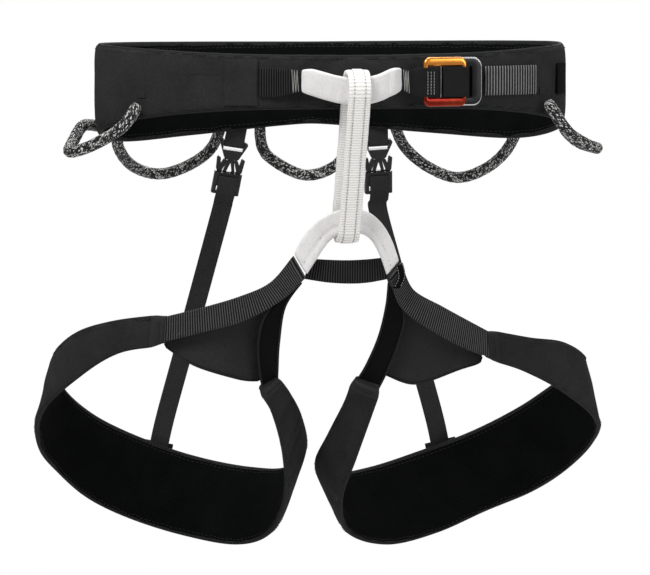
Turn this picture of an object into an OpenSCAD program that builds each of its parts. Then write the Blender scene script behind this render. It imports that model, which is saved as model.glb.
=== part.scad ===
// Climbing harness: padded waist belt, tie-in points, belay loop, two leg loops,
// two elastic rear straps with side-release buckles, and five gear loops.
// Frame: origin at the centre of the waist opening, +Z up, -Y to the front,
// +X to the wearer's left. Lengths are in millimetres.

/* [Waist belt] */
// Half of the belt ring's width, at the middle of its padding
belt_half_width = 151; // [145:1:157]
// Half of the belt ring's depth, at the middle of its padding
belt_half_depth = 78; // [75:1:81]
// Thickness of the belt, shell to lining
belt_thick = 7; // [6.6:0.1:8]
// Width of the load-bearing waist webbing
waist_web = 19; // [17:0.5:20]

/* [Belay loop] */
// Width of the belay loop webbing
belay_web = 14.5; // [14:0.5:17]
// Thickness of the belay loop's sewn layers
belay_thick = 3.6; // [3:0.2:4]

/* [Leg loops] */
// Thickness of the leg band, shell to lining
leg_thick = 6; // [5.6:0.1:6.6]

/* [Rear straps] */
// Width of the elastic rear straps
rear_web = 13; // [11:0.5:13.5]
// Half of the distance between the two rear straps at the belt
rear_half_gap = 48; // [47:1:51]

/* [Gear loops] */
// Diameter of the gear loops' braided sleeve
gear_d = 7.6; // [6:0.2:8]

/* [Hidden] */

charcoal = "#2b2b2c";
black = "#161617";
graphite = "#3a3a3c";
white_web = "#e8e6e3";

play = 0.1;    // gap between layers that are sewn together
skin_t = 1;    // thickness of shell and lining fabric
tape_t = 0.9;  // thickness of the load tapes inside the belt
web_t = 2;     // thickness of flat webbing

// ---------------------------------------------------------------- curves
function unit(v) = v / norm(v);
function clamp_row(rows, i) = rows[max(0, min(len(rows) - 1, i))];
function catmull(a, b, c, d, t) =
    (2 * b + (c - a) * t + (2 * a - 5 * b + 4 * c - d) * t * t
     + (3 * b - a - 3 * c + d) * t * t * t) / 2;
// Rows of numbers, with steps - 1 new rows on a smooth curve between each two
function smooth(rows, steps) = [
    for (i = [0 : len(rows) - 2], k = [0 : steps - 1])
        catmull(clamp_row(rows, i - 1), rows[i], rows[i + 1], clamp_row(rows, i + 2), k / steps),
    rows[len(rows) - 1]
];
// The row at a fractional index of a table
function table_at(rows, f) =
    let (i = max(0, min(len(rows) - 2, floor(f))))
    catmull(clamp_row(rows, i - 1), rows[i], rows[i + 1], clamp_row(rows, i + 2), f - i);

// ---------------------------------------------------------------- skins
// A solid through a row of rings of points; flip turns its faces round
module skin(rings, flip = false, closed = false) {
    n = len(rings);
    m = len(rings[0]);
    sides = [
        for (i = [0 : n - (closed ? 1 : 2)], j = [0 : m - 1])
            let (a = i * m + j, b = i * m + (j + 1) % m,
                 c = ((i + 1) % n) * m + (j + 1) % m, d = ((i + 1) % n) * m + j)
            each j < m / 2 ? [[a, b, c], [a, c, d]] : [[a, b, d], [b, c, d]]
    ];
    caps = closed ? [] : [
        for (j = [0 : m / 2 - 2], e = [0, (n - 1) * m])
            let (a = e + j, b = e + j + 1, c = e + m - 2 - j, d = e + m - 1 - j)
            each e == 0 ? [[a, d, b], [b, d, c]] : [[a, b, d], [b, c, d]]
    ];
    faces = concat(sides, caps);
    polyhedron(
        points = [for (r = rings, p = r) p],
        faces = flip ? faces : [for (f = faces) [f[2], f[1], f[0]]]
    );
}

// A strap's frames along its rails. A rail row is an upper edge point and a lower edge point.
// A frame is [lower edge point, unit vector across, unit normal, width].
function upper(row) = [row[0], row[1], row[2]];
function lower(row) = [row[3], row[4], row[5]];
function strap_frames(rails, steps, side) =
    let (rows = smooth(rails, steps))
    [for (i = [0 : len(rows) - 1])
        let (before = clamp_row(rows, i - 1), after = clamp_row(rows, i + 1),
             along = unit(upper(after) + lower(after) - upper(before) - lower(before)),
             across = upper(rows[i]) - lower(rows[i]))
        [lower(rows[i]), unit(across), side * unit(cross(along, across)), norm(across)]];

// One layer of a strap, between two depths along the normal, inset from both edges, crowned in the middle
function layer_ring(f, inset, depth, crown) =
    let (lo = f[0] + f[1] * inset, hi = f[0] + f[1] * (f[3] - inset), mid = (lo + hi) / 2)
    [lo + f[2] * depth[0], mid + f[2] * (depth[0] + crown[0]), hi + f[2] * depth[0],
     hi + f[2] * depth[1], mid + f[2] * (depth[1] + crown[1]), lo + f[2] * depth[1]];
module strap_layer(frames, side, depth, inset = 0, crown = [0, 0]) {
    skin([for (f = frames) layer_ring(f, inset, depth, crown)], flip = side < 0);
}

// A narrow strip along one edge of a strap: from and to are measured from that edge, outwards is negative
module edge_strip(frames, side, at_top, from, to, depth) {
    function edge_point(f, s) = f[0] + f[1] * (at_top ? f[3] - s : s);
    rings = [for (f = frames) [
        edge_point(f, from) + f[2] * depth[0], edge_point(f, to) + f[2] * depth[0],
        edge_point(f, to) + f[2] * depth[1], edge_point(f, from) + f[2] * depth[1]
    ]];
    skin(rings, flip = (side < 0) != at_top);
}

// A round tube along points that lie near one plane, with that plane's normal
module tube(points, d, plane_normal, sides = 8) {
    n = len(points);
    rings = [
        for (i = [0 : n - 1])
            let (along = unit(clamp_row(points, i + 1) - clamp_row(points, i - 1)),
                 u = unit(cross(along, plane_normal)), v = cross(along, u))
            [for (k = [0 : sides - 1]) points[i] + d / 2 * (cos(360 * k / sides) * u + sin(360 * k / sides) * v)]
    ];
    skin(rings);
}

// ---------------------------------------------------------------- waist belt
// Heights of the belt's upper and lower edge, every 30 degrees from the front middle to the back middle
belt_edges = [[20, -12], [21, -13], [24, -19], [26, -29], [26, -37], [25.5, -34], [25, -28]];
function folded(angle) = abs(angle > 180 ? 360 - angle : angle);
function belt_top(angle) = table_at(belt_edges, folded(angle) / 30)[0];
function belt_bottom(angle) = table_at(belt_edges, folded(angle) / 30)[1];
// A point at an angle round the belt, 0 at the front and 90 on the wearer's left, out from mid padding
function belt_out(angle) =
    let (v = [belt_half_depth * sin(angle), -belt_half_width * cos(angle), 0]) unit(v);
function belt_point(angle, out, z) =
    [belt_half_width * sin(angle), -belt_half_depth * cos(angle), z] + out * belt_out(angle);
function belt_rails(from, to, step) = [
    for (a = [from : step : to]) concat(belt_point(a, 0, belt_top(a)), belt_point(a, 0, belt_bottom(a)))
];
function band_rails(angles, out, high, low) = [
    for (a = angles) concat(belt_point(a, out, high), belt_point(a, out, low))
];

seam_angle = 27;     // where the ring's two ends meet, under the buckle
ring = strap_frames(belt_rails(seam_angle, seam_angle + 359, 7.18), 1, 1);
half_t = belt_thick / 2;
foam_out = half_t - skin_t - tape_t - 2 * play;
foam_in = -half_t + skin_t + play;

module belt_shell() color(charcoal) strap_layer(ring, 1, [half_t - skin_t, half_t], 0.8);
module belt_foam() color("#202020") strap_layer(ring, 1, [foam_in, foam_out], 0.8);
module belt_lining() color(black) strap_layer(ring, 1, [-half_t, -half_t + skin_t], 0.8);
module belt_load_tapes() color("#c8c4b0") {
    tape = [foam_out + play / 2, half_t - skin_t - play / 2];
    edge_strip(ring, 1, true, 3, 11, tape);
    edge_strip(ring, 1, false, 3, 11, tape);
}
module belt_bindings() color(black) {
    edge_strip(ring, 1, true, -1.2, 0.4, [-half_t, half_t]);
    edge_strip(ring, 1, false, -1.2, 0.4, [-half_t, half_t]);
}
// The padded tongue behind the seam under the buckle
module belt_tongue() color(charcoal)
    strap_layer(strap_frames(band_rails([for (a = [6 : 5 : 46]) a], 0, 18, -10), 1, 1), 1,
                [-half_t - 3.4, -half_t - 0.4]);
module belt_front_patch() color(charcoal)
    strap_layer(strap_frames(band_rails([for (a = [-32.5 : 3 : -23.5]) a], 0, 18.5, -10.5), 1, 1), 1,
                [half_t + play, half_t + play + 0.7]);

// ---------------------------------------------------------------- waist webbing and upper tie-in
web_z = 4;                       // height of the waist webbing's middle line
web_hi = web_z + waist_web / 2;
web_lo = web_z - waist_web / 2;
tie_web = 13.5;                  // width of the webbing inside the tie-in sleeve
tie_front = -99;                // how far forward the tie-in bows
// The bowed part in front of the belt: [x, y, height above the webbing's line, sleeve width]
sleeve_rows = [[-34.5, -85.5, 1.2, 14], [-28.5, -89.7, 0.2, 17], [-16, -96, -3.4, 17.3], [-3, tie_front, -5.3, 17.1],
               [10, -96.5, -3.4, 17.3], [20.5, -91, 0.4, 17], [26.5, -86.5, 1.8, 14.5]];
on_belt = half_t + play;

// The buckle's own frame: +X along the belt, +Y into the body, origin on the belt's outer face
buckle_angle = 23.4;
buckle_turn = 12.6;
buckle_at = belt_point(buckle_angle, half_t, web_z);
module at_buckle() translate(buckle_at) rotate([0, 0, buckle_turn]) children();
function from_buckle(x, y, z) = buckle_at + [
    x * cos(buckle_turn) - y * sin(buckle_turn), x * sin(buckle_turn) + y * cos(buckle_turn), z];
adjust_lift = 6.9;               // gap behind the adjusting frame
adjust_t = 2.4;                  // its thickness
adjust_left = -21;               // its ends along the belt
adjust_right = 8.6;
bar_w = 3.2;                     // its upright bars' width

// Rails of the tie-in webbing: sewn to the belt, bowed clear of it at the front, then over the buckle's bar
tie_rails = [
    for (p = [[-23.2, on_belt, waist_web], [-18.5, on_belt + 0.5, 18.5]])
        concat(belt_point(p[0], p[1], web_z + p[2] / 2), belt_point(p[0], p[1], web_z - p[2] / 2)),
    for (r = sleeve_rows) [r[0], r[1], web_z + r[2] + tie_web / 2, r[0], r[1], web_z + r[2] - tie_web / 2],
    for (p = [[-29, -5, 15], [-24, -adjust_lift - adjust_t - 0.6, 18], [-12, -adjust_lift - adjust_t - 1, 18]])
        concat(from_buckle(p[0], p[1], p[2] / 2), from_buckle(p[0], p[1], -p[2] / 2))
];
module tie_in_webbing() color(black) strap_layer(strap_frames(tie_rails, 4, 1), 1, [0, 1.8]);

// The white wear sleeve, a flat tube: one ribbon in front of the webbing and one behind it
sleeve_rails = [for (r = sleeve_rows)
    [r[0], r[1], web_z + r[2] + r[3] / 2, r[0], r[1], web_z + r[2] - r[3] / 2]];
module tie_in_sleeve() color(white_web) {
    f = strap_frames(sleeve_rails, 3, 1);
    strap_layer(f, 1, [2.1, 3], 0, [0.2, 0.7]);
    strap_layer(f, 1, [-1.4, -0.4], 0, [-0.3, -0.3]);
}
module tie_in_bartacks() color("#a9a7a3")
    for (ends = [[1.57, 1.84], [8.36, 8.95]])
        strap_layer(strap_frames([for (k = [0 : 3]) table_at(tie_rails, ends[0] + (ends[1] - ends[0]) * k / 3)], 1, 1),
                    1, [2.2, 2.9], 0.4);

// ---------------------------------------------------------------- waist buckle
// A flat rounded frame with a window, standing upright along the belt
module flat_frame(x0, x1, high, bar_left, bar_right, bar_z, lift, t, corner) {
    translate([0, -lift, 0]) rotate([90, 0, 0]) linear_extrude(t) difference() {
        hull() for (x = [x0 + corner, x1 - corner], z = [-high / 2 + corner, high / 2 - corner])
            translate([x, z]) circle(corner, $fn = 32);
        translate([x0 + bar_left, -high / 2 + bar_z]) square([x1 - x0 - bar_left - bar_right, high - 2 * bar_z]);
    }
}
frame_high = 30.4;
module buckle_lock_frame() color("#1d1d1f")
    at_buckle() flat_frame(-8, 21, frame_high, 4, 7.2, 5.2, 3.2, 2.2, 6);
module buckle_adjust_frame() color("#e06a1b")
    at_buckle() flat_frame(adjust_left, adjust_right, frame_high + 0.6, bar_w, bar_w, 5.7, adjust_lift, adjust_t, 3);

// The strap: sewn to the belt and passing behind the lock frame's wide bar into its window
module waist_strap() color(graphite)
    strap_layer(strap_frames(concat(
        [for (p = [[-3, -4.6], [3, -3.2], [9, -1.7], [14, -1.2], [20, -0.5]])
            concat(from_buckle(p[0], p[1] + 0.3, waist_web / 2), from_buckle(p[0], p[1] + 0.3, -waist_web / 2))],
        band_rails([for (a = [33.8 : 3.8 : 52.9]) a], on_belt, web_hi, web_lo)), 2, 1), 1, [0, 1.1]);
// The free tail lies on the strap
module waist_strap_tail() color(graphite)
    strap_layer(strap_frames(band_rails([for (a = [34.3 : 3.7 : 52.9]) a], on_belt + 1.2, web_hi - 0.2, web_lo + 0.2), 2, 1),
                1, [0, 1.1]);
// Where the strap turns round the adjusting frame's bar: a layer in front of it and one behind
module adjuster_wrap() color(graphite) at_buckle() {
    front = -adjust_lift - adjust_t - 0.1;
    translate([-8.6, front - 1.8, -waist_web / 2]) cube([18.7, 1.8, waist_web]);
    translate([adjust_right + 0.1, front - 0.05, -waist_web / 2]) cube([1.4, adjust_t + 0.15, waist_web]);
    translate([1.5, -adjust_lift + 0.1, -waist_web / 2]) cube([8.6, 1, waist_web]);
}

module strap_keeper() color(black)
    strap_layer(strap_frames(band_rails([for (a = [66 : 3 : 75]) a], 0, 14, -6), 1, 1), 1,
                [half_t + play, half_t + 1.4]);

// ---------------------------------------------------------------- gear loops
// [start angle, end angle, points between, from start to end]
gear_rows = [
    [-58, -112, [[-143, -49, -24], [-160, -36, -36], [-173, -20, -41], [-168, -2, -34], [-160, 14, -26]]],
    [-121, -158, [[-131, 60, -44], [-118, 84, -57], [-99, 96, -62.5], [-79, 99, -57], [-64, 95, -45]]],
    [-167.6, -191.8, [[-30, 94, -45], [-18.6, 98, -56.5], [0, 99, -64.5], [17, 98, -60.5], [27, 94, -49]]],
    [159, 120.5, [[67, 94, -45], [84, 97, -59.5], [104, 95, -67], [121, 83, -60.5], [131, 63, -47]]],
    [56.8, 101, [[145, -46, -29], [160, -34, -38], [172, -19, -42], [165, -4, -39.5], [159.5, 9, -33.5]]]
];
gear_out = half_t + gear_d / 2 + 1;
function gear_end(a) = belt_point(a, gear_out, belt_bottom(a) + 8);
function gear_points(r) = smooth(
    [gear_end(r[0]), each r[2], gear_end(r[1])], 4);
module gear_loop(i) color("#4a4a4a") {
    p = gear_points(gear_rows[i]);
    tube(p, gear_d, unit(cross(p[len(p) - 1] - p[0], p[floor(len(p) / 2)] - p[0])));
}
// Webbing tabs that hold each loop's two ends against the belt
module gear_loop_tabs() color(black)
    for (r = gear_rows, e = [0, 1])
        let (a = r[e])
        translate(belt_point(a, half_t + play, belt_bottom(a) + 12.6))
            rotate([0, 0, atan2(belt_out(a)[1], belt_out(a)[0]) + 90])
                translate([-4, -1.4, 0]) cube([8, 1.2, 5]);

// ---------------------------------------------------------------- belay loop
// The loop hangs over the tie-in sleeve and under the lower tie-in, in a plane near YZ
belay_x = -3;                        // the loop hangs a little to the wearer's right
belay_top = [belay_x, tie_front - 1.1, 0.4];
belay_low = [belay_x, -65.5, -85.9];
belay_r = 8.6;                       // inside radius of both bights
belay_len = norm(belay_low - belay_top);
belay_tilt = atan2(belay_low[1] - belay_top[1], belay_top[2] - belay_low[2]);
module at_belay() translate(belay_top) rotate([belay_tilt, 0, 0]) children();
module belay_ring(r0, t, w) rotate([0, 90, 0]) linear_extrude(w, center = true) difference() {
    hull() for (x = [0, belay_len]) translate([x, 0]) circle(r0 + t, $fn = 48);
    hull() for (x = [0, belay_len]) translate([x, 0]) circle(r0, $fn = 48);
}
module belay_loop_webbing() color(white_web) at_belay() belay_ring(belay_r, belay_thick, belay_web);
module belay_loop_bartack_strip() color("#f2f0ee") at_belay()
    translate([-3.5, -belay_r - belay_thick - 0.9, -belay_len - 2]) cube([7, 0.8, belay_len + 4]);

// ---------------------------------------------------------------- lower tie-in
// An arch of webbing: rows are [x, y, z of the outer edge, x, y, z of the inner edge]
arch_y = -65;
arch_rows = [
    [-36, -103.5, -28, -117], [-31, -94, -22, -108], [-22, -84, -15, -98], [-11, -78, -8, -93], [0, -76, 0, -92],
    [11, -78.5, 8, -93], [20, -86, 14, -98], [26.5, -97, 19, -107.5], [31, -110, 23, -119]
];
arch_rails = [for (r = arch_rows) [r[0], arch_y, r[1], r[2], arch_y, r[3]]];
module lower_tie_in_webbing() color(black) strap_layer(strap_frames(arch_rails, 3, 1), 1, [-1, 1], 1.5);
module lower_tie_in_sleeve() color(white_web) {
    f = strap_frames(arch_rails, 3, 1);
    strap_layer(f, 1, [1.2, 2.1], 0, [0.3, 1.3]);
    strap_layer(f, 1, [-2.5, -1.6], 0, [-1.3, -0.3]);
}
module leg_bridge_webbing() color(black)
    strap_layer(strap_frames([
        [-26, -61, -108, -29, -61, -121], [-13, -60.5, -109, -14, -60.5, -123.5], [0, -60, -109.5, 0, -60, -124.5],
        [12, -60.5, -109, 12, -60.5, -124], [22, -61, -108, 24, -61, -122]], 3, 1), 1, [-0.9, 0.9]);

// ---------------------------------------------------------------- leg loops
// Rail rows from the outer arm's end, round the outside, back and inside of the thigh, to the inner arm's end
band_right = [
    [-121, -32, -146, -122, -30, -165], [-145, -20, -150, -142, -16, -170], [-165, 0, -158, -162, 4, -185],
    [-175.5, 26, -171, -186, 38, -214], [-173, 60, -188, -184, 70, -241], [-164, 88, -207, -168, 96, -262],
    [-138, 111, -229, -146, 114, -282], [-98, 129, -249, -115, 130, -299], [-63, 134, -261, -78, 134, -312],
    [-32, 122, -266, -45, 113, -316], [-12, 100, -263, -27, 84, -305], [-5, 72, -244, -22, 52, -278],
    [-14, 40, -220, -28, 22, -244], [-28, 2, -201, -40, -6, -213], [-38, -20, -190, -49, -22, -200]
];
band_left = [
    [101, -32, -160, 103, -30, -179], [128, -20, -166, 125, -16, -187], [154, -2, -171, 155, 4, -203],
    [175, 25, -183, 188, 38, -228], [176, 58, -196, 193, 70, -247], [168, 86, -210, 182, 97, -268],
    [150, 110, -228, 162, 114, -285], [121, 128, -246, 133, 130, -300], [84, 134, -260, 99, 134, -315],
    [49, 122, -268, 60, 113, -319], [16, 101, -269, 27, 84, -306], [3, 74, -256, 16, 51, -279],
    [5.5, 40, -233, 20, 22, -247], [9, 2, -208, 23, -6, -220], [9, -20, -194, 26, -22, -201]
];
outer_arm_right = [
    [-37.5, -64, -106.5, -29.5, -64, -120.5], [-50, -55, -123, -42, -56, -134], [-69, -50, -132, -66, -48, -148],
    [-94, -42, -140, -93, -40, -156], [-120, -33, -146.5, -120.5, -32, -163]
];
outer_arm_left = [
    [32.5, -64, -112, 25, -64, -121.5], [42, -55, -129, 34, -56, -141], [62, -50, -140.5, 58, -48, -158],
    [83, -42, -152, 81, -40, -170], [100, -33, -160, 101.5, -32, -176]
];
inner_arm_right = [
    [-31, -63, -123, -44, -54, -131], [-40, -53, -139, -54, -50, -147], [-42, -43, -163, -56, -41, -164],
    [-41, -31, -180, -53, -30, -184], [-40, -22, -189, -50, -23, -197]
];
inner_arm_left = [
    [24.5, -63, -123.5, 36, -54, -140], [25, -53, -139, 38, -50, -150], [22, -43, -160, 36, -41, -165],
    [16, -31, -180, 31, -30, -184], [11, -22, -192, 26, -23, -198]
];
panel_right = [
    [-112, -30.5, -157, -112, -30.5, -167], [-92, -39, -153, -95, -35, -178], [-66, -46, -145, -68, -34, -187],
    [-50, -48.5, -134, -53.5, -24, -190]
];
panel_left = [
    [92, -30.5, -168, 92, -30.5, -180], [81, -38, -166, 78, -34, -184], [58, -46, -154, 50, -30, -193.5],
    [40, -49.5, -141, 31, -25, -188]
];
half_l = leg_thick / 2;
anchor_right = [-95.5, 138.5, -252];
anchor_left = [104, 141, -256];

module leg_layers(rails, side, part) {
    f = strap_frames(rails, 4, side);
    if (part == "shell") color(charcoal) strap_layer(f, side, [half_l - skin_t, half_l], 0.8, [0.3, 0.3]);
    if (part == "foam") color("#202020")
        strap_layer(f, side, [-half_l + skin_t + play, half_l - skin_t - play], 0.8, [-0.3, 0.3]);
    if (part == "lining") color(black) strap_layer(f, side, [-half_l, -half_l + skin_t], 0.8, [-0.3, -0.3]);
    if (part == "bindings") color(charcoal) for (top = [true, false])
        edge_strip(f, side, top, -1.2, 0.35, [-half_l, half_l]);
}
module leg_arm(rails, side, depth) strap_layer(strap_frames(rails, 4, side), side, depth);
// An arm's rails, its last row moved to the mouth of the sleeve on the band's end
function to_mouth(rails, row, next_row) =
    let (back = unit(upper(next_row) + lower(next_row) - upper(row) - lower(row)),
         across = unit(upper(row) - lower(row)))
    [for (i = [0 : len(rails) - 2]) rails[i],
     concat(upper(row) - 7.6 * back - 1.2 * across, lower(row) - 7.6 * back + 1.2 * across)];
// The rolled sleeve in which an arm's webbing enters the band
module arm_sleeve(row, next_row, side) {
    back = (upper(next_row) + lower(next_row) - upper(row) - lower(row)) / 2;
    step = -unit(back) * 7;
    shift = unit(back) * -0.4;
    rails = [concat(upper(row) + step + shift, lower(row) + step + shift),
             concat(upper(row) + step / 2 + shift, lower(row) + step / 2 + shift),
             concat(upper(row) + shift, lower(row) + shift)];
    f = strap_frames(rails, 2, side);
    strap_layer(f, side, [1.3, half_l + 0.8], -1, [0, 0.6]);
    strap_layer(f, side, [-half_l - 0.8, -1.3], -1, [-0.6, 0]);
}
module leg_arm_sleeves(rails, side) color(charcoal) {
    last = len(rails) - 1;
    arm_sleeve(rails[0], rails[1], side);
    arm_sleeve(rails[last], rails[last - 1], -side);
}

// ---------------------------------------------------------------- rear straps and release buckles
rear_z = -33;     // height of the strap's pivot at the belt's lower edge
rear_y = 78;
lean_back = 13;   // backward lean of the strap, degrees
function lean_out(s) = s < 0 ? 9 : 3;   // outward lean on each side
bar_drop = 9;     // from the pivot to the male half's webbing bar
rear_mid = -2;    // the pair of straps sits a little to the wearer's right
module at_rear(s) translate([rear_mid + s * rear_half_gap, rear_y, rear_z]) rotate([lean_back, -s * lean_out(s), 0]) children();
function rear_dir(s) = [s * cos(lean_back) * sin(lean_out(s)), sin(lean_back), -cos(lean_back) * cos(lean_out(s))];
function rear_point(s, drop) = [rear_mid + s * rear_half_gap, rear_y, rear_z] + drop * rear_dir(s);

release_w = 18.5;
release_t = 6.4;
male_slot_z = -bar_drop - 3;
module rear_strap_tab(s) color(graphite) at_rear(s) {
    translate([-rear_web / 2, 1.35, -bar_drop - 2.7]) cube([rear_web, 1, bar_drop + 1.3]);
    translate([-rear_web / 2, -2.35, -bar_drop - 2.7]) cube([rear_web, 1, bar_drop + 1.3]);
    translate([-rear_web / 2, -2.35, -bar_drop - 2.7]) cube([rear_web, 4.7, 1.1]);
}
module release_male(s) color(black) at_rear(s) difference() {
    union() {
        rotate([90, 0, 0]) linear_extrude(4.8, center = true)
            hull() for (x = [-1, 1]) {
                translate([x * 7.4, -bar_drop]) circle(1.9, $fn = 32);
                translate([x * 3.6, -bar_drop - 9.5]) circle(1.5, $fn = 32);
            }
        // the guide: two legs with a triangular window between, a cross piece and the tongue in the female half
        rotate([90, 0, 0]) linear_extrude(3, center = true) for (x = [-1, 1]) hull() {
            translate([x * 0.3, -bar_drop - 9.5]) circle(1.3, $fn = 24);
            translate([x * 3, -bar_drop - 20]) circle(0.9, $fn = 24);
        }
        translate([-3.6, -1.5, -bar_drop - 21]) cube([7.2, 3, 1.4]);
        translate([-1.3, -1.5, -bar_drop - 24]) cube([2.6, 3, 4.4]);
    }
    translate([-rear_web / 2 - 0.4, -4, male_slot_z - 1.6]) cube([rear_web + 0.8, 8, 3.2]);
    for (y = [1, -3]) translate([-rear_web / 2 - 0.4, y, -bar_drop - 2]) cube([rear_web + 0.8, 2, 6]);
}
// One prong, on side x of the male half: root, arm and finger ear
module release_prong(s, x) color(black) at_rear(s) {
    rotate([90, 0, 0]) linear_extrude(3, center = true) union() {
        hull() {
            translate([x * 3.8, -bar_drop - 12.6]) circle(1.25, $fn = 24);
            translate([x * 6.5, -bar_drop - 19]) circle(1.5, $fn = 24);
        }
        hull() {
            translate([x * 6.5, -bar_drop - 19]) circle(1.5, $fn = 24);
            translate([x * 5.6, -bar_drop - 24]) circle(0.9, $fn = 24);
        }
        hull() {
            translate([x * 7.4, -bar_drop - 18.4]) circle(1.4, $fn = 24);
            translate([x * 8.2, -bar_drop - 11.3]) circle(1.2, $fn = 24);
        }
    }
}
female_top = -bar_drop - 20.2;
female_len = 15;
module release_female(s) color(black) at_rear(s) difference() {
    translate([0, 0, female_top - female_len]) linear_extrude(female_len)
        offset(1.6, $fn = 24) square([release_w - 3.2, release_t - 3.2], center = true);
    translate([-8, -1.9, female_top - 8]) cube([16, 3.8, 9]);
    translate([-rear_web / 2 - 0.4, -4, female_top - female_len + 2.4]) cube([rear_web + 0.8, 8, 3]);
}
// The elastic strap, in front of the female half's bar and down to the leg band
module rear_strap(s, anchor) color(graphite) {
    lift = [0, -cos(lean_back), -sin(lean_back)];
    across = [cos(lean_out(s)), 0, s * sin(lean_out(s))] * rear_web / 2;
    low_across = [cos(12), 0, s * sin(12)] * rear_web / 2;
    from = rear_point(s, 58);
    rows = [
        for (p = [[33, 4.2], [43, 4.2], [48.5, 2.2]]) [rear_point(s, p[0]) + p[1] * lift, across],
        [from, across],
        for (t = [0.3, 0.6, 0.9]) [from * (1 - t) + anchor * t, low_across],
        [anchor + [s * 2, 1.5, -16], low_across]
    ];
    strap_layer(strap_frames([for (r = rows) concat(r[0] + r[1], r[0] - r[1])], 4, 1), 1, [-0.6, 0.6]);
}
module leg_strap_patch(anchor, s) color(charcoal)
    translate(anchor + [0, 2.6, 0]) rotate([0, -s * 12, 0])
        translate([-11, 0, -18]) cube([22, 1, 22]);

belt_shell();
belt_foam();
belt_lining();
belt_load_tapes();
belt_bindings();
belt_tongue();
belt_front_patch();
tie_in_webbing();
tie_in_sleeve();
tie_in_bartacks();
waist_strap();
waist_strap_tail();
buckle_lock_frame();
buckle_adjust_frame();
adjuster_wrap();
strap_keeper();
gear_loop_tabs();
gear_loop(0);  // gear_loop_front_right
gear_loop(1);  // gear_loop_rear_right
gear_loop(2);  // gear_loop_centre
gear_loop(3);  // gear_loop_rear_left
gear_loop(4);  // gear_loop_front_left
belay_loop_webbing();
belay_loop_bartack_strip();
lower_tie_in_webbing();
lower_tie_in_sleeve();
leg_bridge_webbing();
leg_layers(band_right, -1, "shell");  // leg_shell_right
leg_layers(band_right, -1, "foam");  // leg_foam_right
leg_layers(band_right, -1, "lining");  // leg_lining_right
leg_layers(band_right, -1, "bindings");  // leg_bindings_right
color(graphite) leg_arm(to_mouth(outer_arm_right, band_right[0], band_right[1]), -1, [0.7, 2.3]);  // leg_outer_arm_right
color(black) leg_arm(to_mouth(inner_arm_right, band_right[14], band_right[13]), 1, [-1.1, 0.2]);  // leg_inner_arm_right
color(charcoal) leg_arm(panel_right, 1, [-2.5, -1.6]);  // leg_stretch_panel_right
leg_arm_sleeves(band_right, -1);  // leg_arm_sleeves_right
leg_strap_patch(anchor_right, -1);  // leg_strap_patch_right
leg_layers(band_left, 1, "shell");  // leg_shell_left
leg_layers(band_left, 1, "foam");  // leg_foam_left
leg_layers(band_left, 1, "lining");  // leg_lining_left
leg_layers(band_left, 1, "bindings");  // leg_bindings_left
color(graphite) leg_arm(to_mouth(outer_arm_left, band_left[0], band_left[1]), 1, [0.7, 2.3]);  // leg_outer_arm_left
color(black) leg_arm(to_mouth(inner_arm_left, band_left[14], band_left[13]), -1, [-1.1, 0.2]);  // leg_inner_arm_left
color(charcoal) leg_arm(panel_left, -1, [-2.5, -1.6]);  // leg_stretch_panel_left
leg_arm_sleeves(band_left, 1);  // leg_arm_sleeves_left
leg_strap_patch(anchor_left, 1);  // leg_strap_patch_left
rear_strap_tab(-1);  // rear_strap_tab_right
release_male(-1);  // release_male_right
release_prong(-1, -1);  // release_prong_outer_right
release_prong(-1, 1);  // release_prong_inner_right
release_female(-1);  // release_female_right
rear_strap(-1, anchor_right);  // rear_strap_right
rear_strap_tab(1);  // rear_strap_tab_left
release_male(1);  // release_male_left
release_prong(1, 1);  // release_prong_outer_left
release_prong(1, -1);  // release_prong_inner_left
release_female(1);  // release_female_left
rear_strap(1, anchor_left);  // rear_strap_left
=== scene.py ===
import math
import bpy, bmesh
import numpy as np
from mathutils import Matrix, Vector, noise


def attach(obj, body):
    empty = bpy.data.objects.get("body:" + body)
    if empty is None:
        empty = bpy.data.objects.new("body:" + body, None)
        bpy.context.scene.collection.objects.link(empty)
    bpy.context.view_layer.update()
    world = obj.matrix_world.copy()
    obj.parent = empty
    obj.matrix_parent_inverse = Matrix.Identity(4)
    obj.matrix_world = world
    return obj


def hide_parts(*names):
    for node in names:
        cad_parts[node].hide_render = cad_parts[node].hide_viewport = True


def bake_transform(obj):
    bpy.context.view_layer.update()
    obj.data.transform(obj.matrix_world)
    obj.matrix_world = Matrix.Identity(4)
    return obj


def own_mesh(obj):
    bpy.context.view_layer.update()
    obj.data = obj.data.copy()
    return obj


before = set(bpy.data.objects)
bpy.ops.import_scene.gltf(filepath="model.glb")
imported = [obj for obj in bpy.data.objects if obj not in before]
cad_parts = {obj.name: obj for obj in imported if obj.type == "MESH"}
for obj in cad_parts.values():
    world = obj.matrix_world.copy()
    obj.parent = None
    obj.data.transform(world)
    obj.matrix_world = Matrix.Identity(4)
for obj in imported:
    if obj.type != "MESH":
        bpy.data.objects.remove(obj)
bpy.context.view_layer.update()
MM = 0.001

# ------------------------------------------------------------------ camera
cam_data = bpy.data.cameras.new("camera")
cam = bpy.data.objects.new("camera", cam_data)
bpy.context.scene.collection.objects.link(cam)
bpy.context.scene.camera = cam
AZ, EL, DIST = math.radians(-10.5), math.radians(5.0), 2.5
TARGET = Vector((-0.0046, 0, -0.132))
back = Vector((math.sin(AZ) * math.cos(EL), -math.cos(AZ) * math.cos(EL), math.sin(EL)))
cam.location = TARGET + back * DIST
cam.rotation_euler = (-back).to_track_quat("-Z", "Y").to_euler()
cam_data.lens, cam_data.sensor_width = 213.0, 36.0
cam_data.clip_start, cam_data.clip_end = 0.1, 60


# ------------------------------------------------------------------ curves
def arr(rows):
    return np.array([np.array(r, float) for r in rows])


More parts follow.
